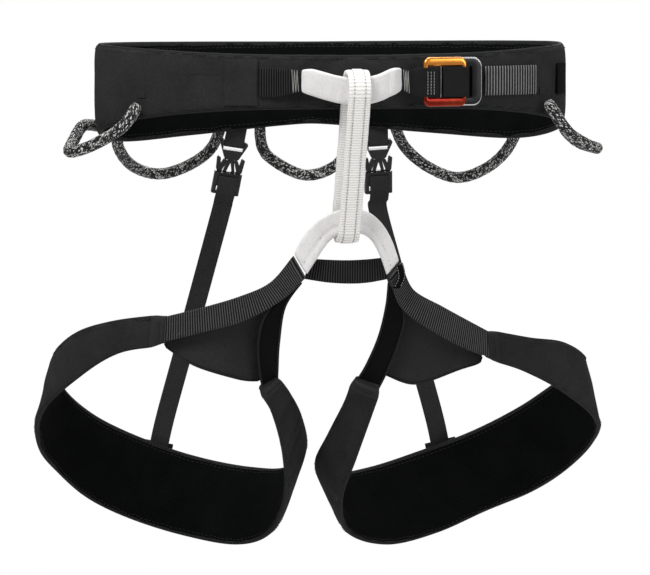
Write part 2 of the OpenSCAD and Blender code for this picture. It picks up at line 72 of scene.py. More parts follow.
def catmull(a, b, c, d, t):
    return (2 * b + (c - a) * t + (2 * a - 5 * b + 4 * c - d) * t * t + (3 * b - a - 3 * c + d) * t ** 3) / 2


def smooth(rows, steps, closed=False):
    rows = arr(rows)
    n = len(rows)
    pick = (lambda i: rows[i % n]) if closed else (lambda i: rows[max(0, min(n - 1, i))])
    out = [catmull(pick(i - 1), pick(i), pick(i + 1), pick(i + 2), k / steps)
           for i in range(n if closed else n - 1) for k in range(steps)]
    if not closed:
        out.append(rows[-1])
    return np.array(out)


def unit(v):
    v = np.asarray(v, float)
    return v / np.linalg.norm(v, axis=-1, keepdims=True)


def running(points):
    """The length from the start to each point of a line."""
    return np.concatenate([[0], np.cumsum(np.linalg.norm(np.diff(points, axis=0), axis=1))])


class Strip:
    """A strap's upper and lower edge, its normals and its running length, at even spacing, in mm."""

    def __init__(self, rails, side, ds, steps=10, closed=False, trim=(0, 0)):
        rows = smooth(rails, steps, closed)
        if closed:
            rows = np.vstack([rows, rows[:1]])
        mid = (rows[:, :3] + rows[:, 3:]) / 2
        s = running(mid)
        n = max(3, int(round((s[-1] - trim[0] - trim[1]) / ds)) + 1)
        at = np.linspace(trim[0], s[-1] - trim[1], n)
        rows = np.stack([np.interp(at, s, rows[:, k]) for k in range(6)], 1)
        self.closed = closed
        self.length = at[-1] - at[0]
        if closed:
            rows, at = rows[:-1], at[:-1]
            along = np.roll(rows, -1, 0) - np.roll(rows, 1, 0)
        else:
            along = np.gradient(rows, axis=0)
        along = unit(along[:, :3] + along[:, 3:])
        self.top, self.low, self.s = rows[:, :3], rows[:, 3:], at - at[0]
        self.width = np.linalg.norm(self.top - self.low, axis=1)
        self.across = unit(self.top - self.low)
        self.along = along
        self.normal = side * unit(np.cross(along, self.across))

    def point(self, i, w, d):
        """The point at station i, w mm from the lower edge and d mm out."""
        return self.low[i] + self.across[i] * w + self.normal[i] * d

    def at(self, w, d):
        """A line w mm from the lower edge and d mm out; w and d may vary from station to station."""
        w, d = np.broadcast_to(w, self.width.shape), np.broadcast_to(d, self.width.shape)
        return self.low + self.across * w[:, None] + self.normal * d[:, None]


def mesh_object(name, verts, faces, uvs=None, smooth_faces=True):
    mesh = bpy.data.meshes.new(name)
    mesh.from_pydata([tuple(v) for v in np.asarray(verts) * MM], [], faces)
    if uvs is not None:
        layer = mesh.uv_layers.new(name="UVMap")
        flat = np.array([uv for face in uvs for uv in face], np.float32) * MM
        layer.data.foreach_set("uv", flat.ravel())
    mesh.update()
    obj = bpy.data.objects.new(name, mesh)
    bpy.context.scene.collection.objects.link(obj)
    bm = bmesh.new()
    bm.from_mesh(mesh)
    bmesh.ops.recalc_face_normals(bm, faces=bm.faces)
    bm.to_mesh(mesh)
    bm.free()
    if smooth_faces:
        mesh.shade_smooth()
    return obj


def loft(name, grid, s, closed_u=False, caps=True, closed_v=True):
    """A skin over a grid of points [station][point round the section], with running lengths as its UVs."""
    grid = np.asarray(grid, float)
    n, m = grid.shape[:2]
    step = np.linalg.norm(np.roll(grid, -1, 1) - grid, axis=2).mean(0)
    v_at = np.concatenate([[0], np.cumsum(step)])
    faces, uvs = [], []
    total = s[-1] + (s[-1] - s[-2])
    for i in range(n if closed_u else n - 1):
        a, b = i * m, ((i + 1) % n) * m
        u0, u1 = s[i], (s[i + 1] if i + 1 < n else total)
        for j in range(m if closed_v else m - 1):
            k = (j + 1) % m
            faces.append((a + j, a + k, b + k, b + j))
            uvs.append(((u0, v_at[j]), (u0, v_at[j + 1]), (u1, v_at[j + 1]), (u1, v_at[j])))
    if caps and not closed_u and closed_v:
        for base, u in ((0, s[0]), ((n - 1) * m, s[-1])):
            face = tuple(base + j for j in range(m))
            faces.append(face)
            uvs.append(tuple((u + 0.3 * (j % 2), v_at[j]) for j in range(m)))
    return mesh_object(name, grid.reshape(-1, 3), faces, uvs)


def section(width, d0, d1, inset=0.0, r=0.45, across=6, crown=0.0):
    """A rounded flat section as (w, d) pairs: along the outer side, then back along the inner."""
    lo, hi = inset, width - inset
    r = min(r, (d1 - d0) / 2 - 0.01)
    t = np.linspace(0, 1, across)
    ws = lo + r + (hi - lo - 2 * r) * t
    bulge = crown * (1 - (2 * t - 1) ** 2)
    outer = [(lo + 0.3 * r, d1 - 0.3 * r)] + [(w, d1 + c) for w,
                                              c in zip(ws, bulge)] + [(hi - 0.3 * r, d1 - 0.3 * r)]
    inner = [(hi - 0.3 * r, d0 + 0.3 * r)] + [(w, d0 - c) for w,
                                              c in zip(ws[::-1],
                                                       bulge[::-1])] + [(lo + 0.3 * r, d0 + 0.3 * r)]
    return [(lo, (d0 + d1) / 2)] + outer + [(hi, (d0 + d1) / 2)] + inner


def strap(name, strip, d0, d1, inset=0.0, crown=0.0, across=6, r=0.45, ribs=None):
    """A flat strap. ribs = (pitch, height, from, to) puts ridges between two shares of its width."""
    rows = []
    for i in range(len(strip.s)):
        sec = section(strip.width[i], d0, d1, inset, r, across, crown)
        pts = []
        for w, d in sec:
            if ribs and d > (d0 + d1) / 2:
                pitch, height, f0, f1 = ribs
                share = (w / strip.width[i] - f0) / max(1e-6, f1 - f0)
                if -0.02 <= share <= 1.02:
                    fade = min(1, max(0, min(share, 1 - share) * 12 + 0.25))
                    d += height * fade * (0.5 + 0.5 * math.cos(2 * math.pi * strip.s[i] / pitch)) ** 1.3
            pts.append(strip.point(i, w, d))
        rows.append(pts)
    rows = np.array(rows)
    return loft(name, rows, strip.s, closed_u=strip.closed)


def tube(name, points, radius, sides=18, plane=None, caps=True, lump=0.0):
    p = np.asarray(points, float)
    along = unit(np.gradient(p, axis=0))
    n = unit(np.cross(along, plane if plane is not None else np.array([0.3, 0.5, 1.0])))
    b = np.cross(along, n)
    s = running(p)
    ang = np.linspace(0, 2 * math.pi, sides, endpoint=False)
    rad = np.broadcast_to(radius, (len(p),)).astype(float)
    grid = np.zeros((len(p), sides, 3))
    for i in range(len(p)):
        for k, a in enumerate(ang):
            rr = rad[i] * (1 + lump * noise.noise(Vector((s[i] * 0.35, math.cos(a) * 1.5,
                                                          math.sin(a) * 1.5))))
            grid[i, k] = p[i] + rr * (math.cos(a) * n[i] + math.sin(a) * b[i])
    return loft(name, grid, s, caps=caps)


def even(points, ds, steps=12):
    """Points on a smooth curve at even spacing."""
    p = smooth(points, steps)
    s = running(p)
    at = np.linspace(0, s[-1], max(3, int(round(s[-1] / ds)) + 1))
    return np.stack([np.interp(at, s, p[:, k]) for k in range(p.shape[1])], 1)


def join(name, objs):
    """One object out of several, each keeping its UVs and materials."""
    mats, verts, faces, uvs, slots, base = [], [], [], [], [], 0
    for o in objs:
        me = o.data
        co = np.array([v.co for v in me.vertices]) / MM
        verts.append(co)
        idx = []
        for m in me.materials:
            if m not in mats:
                mats.append(m)
            idx.append(mats.index(m))
        uv = me.uv_layers.active
        for p in me.polygons:
            faces.append(tuple(base + v for v in p.vertices))
            uvs.append(tuple(tuple(np.array(uv.data[l].uv) / MM) if uv else (0, 0) for l in p.loop_indices))
            slots.append(idx[p.material_index] if idx else 0)
        base += len(co)
        bpy.data.objects.remove(o)
    mesh = bpy.data.meshes.new(name)
    mesh.from_pydata([tuple(v) for v in np.vstack(verts) * MM], [], faces)
    layer = mesh.uv_layers.new(name="UVMap")
    layer.data.foreach_set("uv", (np.array([c for f in uvs for c in f], np.float32) * MM).ravel())
    for m in mats:
        mesh.materials.append(m)
    mesh.polygons.foreach_set("material_index", slots)
    mesh.shade_smooth()
    mesh.update()
    obj = bpy.data.objects.new(name, mesh)
    bpy.context.scene.collection.objects.link(obj)
    return obj


def stitches(name, path, normal, length=2.0, gap=0.8, r=0.24, lift=0.08):
    """A row of short threads along a path of points, lying on a surface with the given normals."""
    p = np.asarray(path, float)
    nrm = np.broadcast_to(np.asarray(normal, float), p.shape)
    s = running(p)
    starts = np.arange(0.4, s[-1] - length, length + gap)
    verts, faces, uvs = [], [], []
    ring = [(math.cos(a), math.sin(a)) for a in np.linspace(0, 2 * math.pi, 5, endpoint=False)]
    for st in starts:
        at = np.array([st, st + 0.18 * length, st + 0.5 * length, st + 0.82 * length, st + length])
        size = [0.35, 0.95, 1.0, 0.95, 0.35]
        drop = [-0.22, 0.0, 0.1, 0.0, -0.22]
        c = np.stack([np.interp(at, s, p[:, k]) for k in range(3)], 1)
        nn = unit(np.stack([np.interp(at, s, nrm[:, k]) for k in range(3)], 1))
        al = unit(np.gradient(c, axis=0))
        side = unit(np.cross(al, nn))
        base = len(verts)
        for q in range(5):
            for ca, sa in ring:
                verts.append(c[q] + nn[q] * (lift + drop[q] + sa * r * size[q])
                             + side[q] * (ca * r * size[q]))
        for q in range(4):
            for k in range(5):
                k2 = (k + 1) % 5
                faces.append((base + q * 5 + k, base + q * 5 + k2, base + q * 5 + 5 + k2,
                              base + q * 5 + 5 + k))
                uvs.append(((q, k), (q, k + 1), (q + 1, k + 1), (q + 1, k)))
        faces.append(tuple(base + k for k in range(5)))
        uvs.append(tuple((0, k) for k in range(5)))
        faces.append(tuple(base + 20 + k for k in range(5)))
        uvs.append(tuple((4, k) for k in range(5)))
    return mesh_object(name, verts, faces, uvs)


# ------------------------------------------------------------------ materials
class Nodes:
    def __init__(self, name):
        self.mat = bpy.data.materials.new(name)
        self.mat.use_nodes = True
        self.nt = self.mat.node_tree
        self.bsdf = self.nt.nodes["Principled BSDF"]

    def new(self, kind, *links, **values):
        node = self.nt.nodes.new(kind)
        for key, value in values.items():
            if key in node.inputs:
                node.inputs[key].default_value = value
            else:
                setattr(node, key, value)
        for i, link in enumerate(links):
            if link is not None:
                self.put(link, node.inputs[i])
        return node

    def put(self, source, socket):
        if isinstance(source, (int, float)):
            socket.default_value = source
        else:
            self.nt.links.new(source.outputs[0] if hasattr(source, "outputs") else source, socket)

    def math(self, op, a, b=0.0, c=0.0):
        node = self.nt.nodes.new("ShaderNodeMath")
        node.operation = op
        for i, x in enumerate((a, b, c)):
            self.put(x, node.inputs[i])
        return node.outputs[0]

    def add(self, a, b):
        return self.math("ADD", a, b)

    def mul(self, a, b):
        return self.math("MULTIPLY", a, b)

    def mix(self, fac, a, b):
        node = self.nt.nodes.new("ShaderNodeMix")
        node.data_type = "RGBA"
        self.put(fac, node.inputs[0])
        for socket, x in ((node.inputs[6], a), (node.inputs[7], b)):
            if isinstance(x, (tuple, list)):
                socket.default_value = (*x, 1)
            else:
                self.put(x, socket)
        return node.outputs[2]

    def choose(self, fac, a, b):
        """A plain number: a where fac is 0, b where it is 1."""
        node = self.nt.nodes.new("ShaderNodeMix")
        for socket, x in zip((node.inputs[0], node.inputs[2], node.inputs[3]), (fac, a, b)):
            self.put(x, socket)
        return node.outputs[0]

    def uv(self):
        tc = self.nt.nodes.new("ShaderNodeTexCoord")
        sep = self.nt.nodes.new("ShaderNodeSeparateXYZ")
        self.nt.links.new(tc.outputs["UV"], sep.inputs[0])
        return tc.outputs["UV"], sep.outputs[0], sep.outputs[1]

    def noise(self, scale, detail=3.0, vector="Object", rough=0.55):
        tc = self.nt.nodes.new("ShaderNodeTexCoord")
        n = self.nt.nodes.new("ShaderNodeTexNoise")
        n.inputs["Scale"].default_value = scale
        n.inputs["Detail"].default_value = detail
        n.inputs["Roughness"].default_value = rough
        self.nt.links.new(tc.outputs[vector], n.inputs["Vector"])
        return n.outputs[0]

    def ramp(self, fac, lo, hi):
        """0 to 1 between lo and hi."""
        node = self.nt.nodes.new("ShaderNodeMapRange")
        node.clamp = True
        self.put(fac, node.inputs[0])
        node.inputs[1].default_value, node.inputs[2].default_value = lo, hi
        return node.outputs[0]

    def finish(self, color, rough, height=None, bump=0.5, distance=0.0003, specular=0.2, sheen=0.0,
               metallic=0.0, coat=0.0):
        b = self.bsdf.inputs
        if isinstance(color, (tuple, list)):
            b["Base Color"].default_value = (*color, 1)
        else:
            self.put(color, b["Base Color"])
        self.put(rough, b["Roughness"])
        b["Specular IOR Level"].default_value = specular
        b["Metallic"].default_value = metallic
        b["Sheen Weight"].default_value = sheen
        b["Sheen Roughness"].default_value = 0.4
        b["Coat Weight"].default_value = coat
        if height is not None:
            bm = self.nt.nodes.new("ShaderNodeBump")
            bm.inputs["Strength"].default_value = bump
            bm.inputs["Distance"].default_value = distance
            self.put(height, bm.inputs["Height"])
            self.nt.links.new(bm.outputs[0], b["Normal"])
        return self.mat


TAU = 2 * math.pi
ARM_PITCH, TAIL_PITCH, RIB_PITCH = 1.6, 2.15, 1.6      # mm between ribs


def woven(name, dark, light, pitch=0.9, rough=0.85, sheen=0.0, specular=0.15, mottle=0.5, bump=0.5):
    """Plain weave in running lengths, with mottling at two sizes."""
    n = Nodes(name)
    _, u, v = n.uv()
    k = TAU / (pitch * MM)
    warp = n.math("SINE", n.mul(u, k))
    weft = n.math("SINE", n.mul(v, k))
    weave = n.mul(warp, weft)
    grain = n.noise(900, 2)
    cloud = n.noise(45, 4)
    fac = n.add(n.mul(weave, 0.16), n.mul(grain, 0.55))
    fac = n.add(fac, n.mul(cloud, mottle))
    color = n.mix(n.ramp(fac, 0.2, 0.95), dark, light)
    roughness = n.add(n.mul(cloud, 0.12), rough - 0.06)
    height = n.add(n.mul(weave, 0.5), n.mul(grain, 0.6))
    return n.finish(color, roughness, height, bump, 0.00025, specular, sheen)


def ribbed(name, dark, light, pitch=2.0, rough=0.75, sharp=2.0, specular=0.2, sheen=0.0, across=False):
    """Webbing with ribs across it: a painted highlight on the ridges, painted shade in the grooves between
    them, threads along each rib.
    """
    n = Nodes(name)
    _, u, v = n.uv()
    if across:
        u, v = v, u
    wave = n.math("COSINE", n.mul(u, TAU / (pitch * MM)))
    ridge = n.math("POWER", n.add(n.mul(wave, 0.5), 0.5), sharp)
    thread = n.math("SINE", n.mul(v, TAU / (0.8 * MM)))
    grain = n.noise(1100, 2)
    cloud = n.noise(60, 3)
    fac = n.mul(ridge, n.add(n.mul(grain, 0.9), 0.45))
    fac = n.add(fac, n.mul(n.mul(thread, ridge), 0.12))
    fac = n.add(fac, n.mul(cloud, 0.15))
    # Painted light: the colour follows the rib relief the bump uses, lighter on each ridge and darker in the
    # grooves.
    color = n.mix(n.ramp(fac, 0.05, 0.95), dark, light)
    height = n.add(n.mul(thread, 0.25), n.mul(grain, 0.4))
    height = n.add(height, ridge)
    return n.finish(color, rough, height, 0.45, 0.0003, specular, sheen)


def braided(name):
    """A braided sleeve of black and white yarns: short slanted flecks in two directions."""
    n = Nodes(name)
    uv, u, v = n.uv()
    cells = []
    for turn in (0.62, -0.62):
        mp = n.new("ShaderNodeMapping", uv)
        mp.inputs["Rotation"].default_value = (0, 0, turn)
        mp.inputs["Scale"].default_value = (520, 1150, 1)
        vo = n.new("ShaderNodeTexVoronoi", mp)
        vo.inputs["Scale"].default_value = 1.0
        sep = n.new("ShaderNodeSeparateColor", vo.outputs["Color"])
        cells.append((sep.outputs[0], vo.outputs["Distance"]))
    over = n.math("GREATER_THAN", n.math("SINE", n.mul(n.add(u, v), TAU / (2.6 * MM))), 0.0)
    pick, dist = n.choose(over, cells[0][0], cells[1][0]), n.choose(over, cells[0][1], cells[1][1])
    fleck = n.ramp(pick, 0.66, 0.70)
    color = n.mix(fleck, (0.002, 0.002, 0.0022), (0.72, 0.71, 0.7))
    # Painted shade: each fleck darkens toward its cell border, in the hollows between yarns where the bump
    # also sinks.
    edge = n.ramp(dist, 0.75, 0.2)
    color = n.mix(n.mul(n.math("SUBTRACT", 1.0, edge), 0.7), color, (0.006, 0.006, 0.006))
    return n.finish(color, 0.62, edge, 0.8, 0.0005, 0.3)


def plastic(name, color, rough=0.38):
    n = Nodes(name)
    grain = n.noise(2600, 2)
    cloud = n.noise(120, 3)
    col = n.mix(n.mul(cloud, 0.6), color, tuple(c * 1.7 + 0.004 for c in color))
    return n.finish(col, n.add(n.mul(cloud, 0.14), rough - 0.07), grain, 0.12, 0.0001, 0.45)


def anodised(name, color, deep, rough=0.28):
    n = Nodes(name)
    grain = n.noise(1800, 2)
    cloud = n.noise(90, 4)
    col = n.mix(cloud, color, deep)
    return n.finish(col, n.add(n.mul(cloud, 0.16), rough - 0.08), grain, 0.08, 0.0001, 0.5, metallic=0.85)


SHELL = woven("shell_weave", (0.009, 0.009, 0.0095), (0.037, 0.037, 0.038), pitch=1.1, mottle=0.6,
              specular=0.08, bump=0.9)
LINING = woven("lining_knit", (0.001, 0.0013, 0.0012), (0.006, 0.0065, 0.0062), pitch=1.6, rough=0.95,
               mottle=0.5, specular=0.03)
BELT_LINING = woven("belt_lining_knit", (0.001, 0.0014, 0.0013), (0.007, 0.0078, 0.0074), pitch=1.6,
                    rough=0.95, mottle=0.5, specular=0.03)
PANEL = woven("stretch_knit", (0.013, 0.013, 0.0135), (0.036, 0.036, 0.037), pitch=0.8, mottle=0.4,
              specular=0.08)
# In each ribbed() material, the darker tone is the webbing's own colour deepened into painted shade in the
# grooves, and the lighter tone is a painted highlight on the ridges.
BINDING = ribbed("binding_tape", (0.004, 0.004, 0.0045), (0.028, 0.028, 0.029), pitch=1.0, rough=0.75,
                 across=True, specular=0.1)
BLACK_WEB = woven("black_webbing", (0.003, 0.003, 0.0032), (0.014, 0.014, 0.0145), pitch=0.9, rough=0.7,
                  specular=0.12)
VELVET = woven("smooth_black_webbing", (0.0006, 0.0006, 0.0007), (0.004, 0.004, 0.0043), pitch=0.7,
               rough=0.7, specular=0.06)
RIB_GREY = ribbed("ribbed_grey_webbing", (0.003, 0.003, 0.0033), (0.085, 0.085, 0.086), pitch=ARM_PITCH,
                  specular=0.1)
RIB_WAIST = ribbed("ribbed_waist_webbing", (0.003, 0.003, 0.0033), (0.23, 0.23, 0.232), pitch=TAIL_PITCH,
                   sharp=3.2, specular=0.1)
RIB_DARK = ribbed("ribbed_black_webbing", (0.0015, 0.0015, 0.0017), (0.036, 0.036, 0.037), pitch=RIB_PITCH,
                  specular=0.08)
ELASTIC = woven("elastic_webbing", (0.017, 0.017, 0.0175), (0.044, 0.044, 0.045), pitch=1.3, rough=0.8,
                mottle=0.3, specular=0.1, bump=0.7)
WHITE = woven("white_sleeve", (0.60, 0.585, 0.58), (0.84, 0.825, 0.82), pitch=0.8, rough=0.85,
              specular=0.15, mottle=0.5, bump=0.6)
WHITE_RIB = ribbed("white_ribbed_webbing", (0.62, 0.61, 0.58), (0.88, 0.865, 0.84), pitch=1.7, rough=0.85,
                   sharp=0.6, specular=0.15)
THREAD_WHITE = woven("white_thread", (0.55, 0.53, 0.51), (0.78, 0.76, 0.74), pitch=0.4, rough=0.7)
THREAD_GREY = woven("grey_thread", (0.16, 0.158, 0.15), (0.44, 0.435, 0.42), pitch=0.4, rough=0.75)
THREAD_PALE = woven("pale_thread", (0.26, 0.25, 0.235), (0.50, 0.485, 0.46), pitch=0.4, rough=0.8)
THREAD_DARK = woven("dark_thread", (0.012, 0.012, 0.0125), (0.05, 0.05, 0.051), pitch=0.4, rough=0.7)
BRAID = braided("gear_loop_braid")
PLASTIC = plastic("buckle_plastic", (0.006, 0.006, 0.0065))
LOCK_BLACK = anodised("lock_frame_black", (0.012, 0.012, 0.013), (0.03, 0.03, 0.032), 0.34)
SILVER = anodised("lock_frame_edge", (0.62, 0.62, 0.62), (0.48, 0.48, 0.49), 0.24)


def metal_with_painted_light(name, low, high, z_low, z_high, rough=0.22):
    """Anodised metal whose colour runs from a darker red low down to a bright orange high up: painted shade
    below and a painted highlight above.
    """
    n = Nodes(name)
    tc = n.nt.nodes.new("ShaderNodeTexCoord")
    sep = n.nt.nodes.new("ShaderNodeSeparateXYZ")
    n.nt.links.new(tc.outputs["Object"], sep.inputs[0])
    cloud = n.noise(140, 4)
    # Painted light: the height on the frame picks the tone, shaded red at the bottom and highlighted orange
    # at the top.
    height = n.ramp(sep.outputs[2], z_low, z_high)
    fac = n.add(height, n.mul(n.math("SUBTRACT", cloud, 0.5), 0.3))
    grain = n.noise(1800, 2)
    rough_map = n.add(n.mul(cloud, 0.14), rough - 0.07)
    return n.finish(n.mix(fac, low, high), rough_map, grain, 0.08, 0.0001, 0.5, metallic=0.9)


# The adjusting frame's orange, with painted shade on its lower bar and a painted highlight on its upper bar.
ORANGE = metal_with_painted_light("adjuster_orange", (0.24, 0.018, 0.010), (0.80, 0.30, 0.05), -0.006, 0.018)


def paint(obj, *mats):
    obj.data.materials.clear()
    for m in mats:
        obj.data.materials.append(m)
    return obj


def subdivide(obj):
    sub = obj.modifiers.new("Subdivision", "SUBSURF")
    sub.levels = sub.render_levels = 1
    return obj


def place(obj, body, mat=None, nodes=()):
    if mat is not None:
        paint(obj, mat)
    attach(obj, body)
    if nodes:
        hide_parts(*nodes)
    return obj


# ------------------------------------------------------------------ the belt's shape, as in the CAD
HALF_W, HALF_D, HALF_T = 151.0, 78.0, 3.5
WEB_Z = 4.0
BELT_EDGES = [[20, -12], [21, -13], [24, -19], [26, -29], [26, -37], [25.5, -34], [25, -28]]


def table_at(rows, f):
    rows = arr(rows)
    i = max(0, min(len(rows) - 2, int(math.floor(f))))
    pick = lambda j: rows[max(0, min(len(rows) - 1, j))]
    return catmull(pick(i - 1), pick(i), pick(i + 1), pick(i + 2), f - i)


def belt_edge(angle, k):
    a = abs(angle) % 360
    a = 360 - a if a > 180 else a
    return table_at(BELT_EDGES, a / 30)[k]


def belt_out(angle):
    a = math.radians(angle)
    return unit([HALF_D * math.sin(a), -HALF_W * math.cos(a), 0])


def belt_point(angle, out, z):
    a = math.radians(angle)
    return np.array([HALF_W * math.sin(a), -HALF_D * math.cos(a), z]) + out * belt_out(angle)


def belt_rails(angles):
    return [np.concatenate([belt_point(a, 0, belt_edge(a, 0)), belt_point(a, 0, belt_edge(a, 1))])
            for a in angles]


def band_rails(angles, out, high, low):
    return [np.concatenate([belt_point(a, out, high), belt_point(a, out, low)]) for a in angles]


# ------------------------------------------------------------------ padded pieces, inflated as cloth
def pad_grid(strip, half, edge, across, crown_power=5.0):
    """Outer side from the lower edge to the upper, then the inner side back."""
    t = 0.5 - 0.5 * np.cos(np.linspace(0, math.pi, across))
    t = 0.35 * np.linspace(0, 1, across) + 0.65 * t
    depth = edge + (half - edge) * (1 - np.abs(2 * t - 1) ** crown_power)
    out = np.stack([strip.at(strip.width * q, d) for q, d in zip(t, depth)], 1)
    inn = np.stack([strip.at(strip.width * q, -d) for q, d in zip(t[::-1], depth[::-1])], 1)
    return np.concatenate([out, inn], 1), t


pads = []


def make_pad(name, strip, half, edge, across, cap, taper=0):
    grid, t = pad_grid(strip, half, edge, across)
    if taper:
        n = len(strip.s)
        f = np.ones(n)
        for i in range(taper):
            f[i] = f[n - 1 - i] = 0.55 + 0.45 * i / taper
        mid = (grid[:, :across] + grid[:, across:][:, ::-1]) / 2
        for side in (slice(0, across), slice(across, 2 * across)):
            m = mid if side.start == 0 else mid[:, ::-1]
            grid[:, side] = m + (grid[:, side] - m) * f[:, None, None]
    obj = loft(name, grid, strip.s, closed_u=strip.closed)
    n, m = grid.shape[:2]
    pin = []
    for i in range(n):
        for j in range(m):
            edge_point = j in (0, across - 1, across, 2 * across - 1)
            end = not strip.closed and i in (0, n - 1)
            if edge_point or end:
                pin.append(i * m + j)
    group = obj.vertex_groups.new(name="pin")
    group.add(pin, 1.0, "REPLACE")
    pads.append(dict(obj=obj, strip=strip, across=across, cap=cap, rest=grid.reshape(-1, 3).copy(),
                     shape=(n, m)))
    return obj


CLOTH_FRAMES = 20
CLOTH = dict(quality=6, mass=0.2, tension_stiffness=12, compression_stiffness=12, shear_stiffness=6,
             bending_stiffness=0.15, use_pressure=True, uniform_pressure_force=4.0, shrink_min=-0.035,
             vertex_group_mass="pin")
SINK, SWELL = -0.6, 0.45               # how far the cloth may move in and out, mm
WAVES = ((0.32, 0.045), (0.14, 0.16))  # height in mm and frequency of the fabric's unevenness


def inflate():
    """Cloth pressure on all pads together, then each result is capped and kept as the mesh."""
    scene = bpy.context.scene
    for p in pads:
        cloth = p["obj"].modifiers.new("Cloth", "CLOTH")
        for key, value in CLOTH.items():
            setattr(cloth.settings, key, value)
        cloth.settings.effector_weights.gravity = 0
        cloth.point_cache.frame_start, cloth.point_cache.frame_end = 1, CLOTH_FRAMES
    for f in range(1, CLOTH_FRAMES + 1):
        scene.frame_set(f)
    dg = bpy.context.evaluated_depsgraph_get()
    for p in pads:
        ev = p["obj"].evaluated_get(dg)
        me = ev.to_mesh()
        p["new"] = np.array([v.co for v in me.vertices]) / MM
        ev.to_mesh_clear()
    for p in pads:
        p["obj"].modifiers.clear()
    scene.frame_set(1)
    for p in pads:
        new = p.get("new", p["rest"])
        move = new - p["rest"]
        size = np.linalg.norm(move, axis=1, keepdims=True)
        move = move * np.minimum(1, p["cap"] / np.maximum(size, 1e-9))
        n, m = p["shape"]
        nrm = np.repeat(p["strip"].normal, m, axis=0)
        depth = (move * nrm).sum(1)
        sign = np.tile(np.r_[np.ones(p["across"]), -np.ones(p["across"])], n)
        extra = np.clip(depth * sign, SINK, SWELL) * sign
        move += nrm * (extra - depth)[:, None]
        wave = [sum(h * noise.noise(Vector(q * k)) for h, k in WAVES) for q in p["rest"]]
        inner_point = np.tile(np.r_[[0], np.ones(p["across"] - 2), [0], [0], np.ones(p["across"] - 2),
                                    [0]], n)
        move += nrm * (np.array(wave) * inner_point)[:, None]
        p["final"] = p["rest"] + move
        co = p["final"] * MM
        p["obj"].data.vertices.foreach_set("co", co.astype(np.float32).ravel())
        p["obj"].data.update()


def pad_faces(p):
    """The outer and the inner face of a pad, each as a grid from the lower edge to the upper."""
    n, m = p["shape"]
    k = p["across"]
    g = p["final"].reshape(n, m, 3)
    return g[:, :k], g[:, k:][:, ::-1]


def split_pad(p, outer_name, inner_name):
    """The outer and the inner fabric of a pad as two thin pieces that meet under the binding."""
    res = []
    for name, part in zip((outer_name, inner_name), pad_faces(p)):
        sign = 1 if name == outer_name else -1
        under = part - p["strip"].normal[:, None, :] * sign * 0.55
        ring = np.concatenate([part, under[:, ::-1]], 1)
        o = loft(name, ring, p["strip"].s, closed_u=p["strip"].closed)
        subdivide(o)
        res.append(o)
    bpy.data.objects.remove(p["obj"])
    return res


def surface_path(p, share, outer=True, lift=0.0):
    """A line along a pad's face at a share of its width, with its normals."""
    face = pad_faces(p)[0 if outer else 1]
    k = face.shape[1]
    t = share * (k - 1)
    i = min(k - 2, int(t))
    line = face[:, i] * (1 - (t - i)) + face[:, i + 1] * (t - i)
    nrm = p["strip"].normal * (1 if outer else -1)
    return line + nrm * lift, nrm


belt_strip = Strip(belt_rails(np.arange(0, 360, 7.5)), 1, 4.0, steps=8, closed=True)
make_pad("belt_pad", belt_strip, 3.0, 1.3, 17, 2.0)

BAND = {
    "right": [
        [-121, -32, -146, -122, -30, -165], [-145, -20, -150, -142, -16, -170],
        [-165, 0, -158, -162, 4, -185],
        [-175.5, 26, -171, -186, 38, -214], [-173, 60, -188, -184, 70, -241],
        [-164, 88, -207, -168, 96, -262],
        [-138, 111, -229, -146, 114, -282], [-98, 129, -249, -115, 130, -299],
        [-63, 134, -261, -78, 134, -312],
        [-32, 122, -266, -45, 113, -316], [-12, 100, -263, -27, 84, -305], [-5, 72, -244, -22, 52, -278],
        [-14, 40, -220, -28, 22, -244], [-28, 2, -201, -40, -6, -213], [-38, -20, -190, -49, -22, -200]],
    "left": [
        [101, -32, -160, 103, -30, -179], [128, -20, -166, 125, -16, -187], [154, -2, -171, 155, 4, -203],
        [175, 25, -183, 188, 38, -228], [176, 58, -196, 193, 70, -247], [168, 86, -210, 182, 97, -268],
        [150, 110, -228, 162, 114, -285], [121, 128, -246, 133, 130, -300], [84, 134, -260, 99, 134, -315],
        [49, 122, -268, 60, 113, -319], [16, 101, -269, 27, 84, -306], [3, 74, -256, 16, 51, -279],
        [5.5, 40, -233, 20, 22, -247], [9, 2, -208, 23, -6, -220], [9, -20, -194, 26, -22, -201]],
}
SIDE = {"right": -1, "left": 1}
leg_strip = {}
for s in ("right", "left"):
    leg_strip[s] = Strip(BAND[s], SIDE[s], 3.6, steps=10)
    make_pad("leg_pad_" + s, leg_strip[s], 2.5, 1.1, 13, 2.0, taper=3)

inflate()

# ------------------------------------------------------------------ waist belt
belt = pads[0]
shell, lining = split_pad(belt, "belt_shell_fabric", "belt_lining_fabric")
place(shell, "waistbelt", SHELL, ["belt_shell", "belt_foam", "belt_load_tapes"])
place(lining, "waistbelt", BELT_LINING, ["belt_lining"])


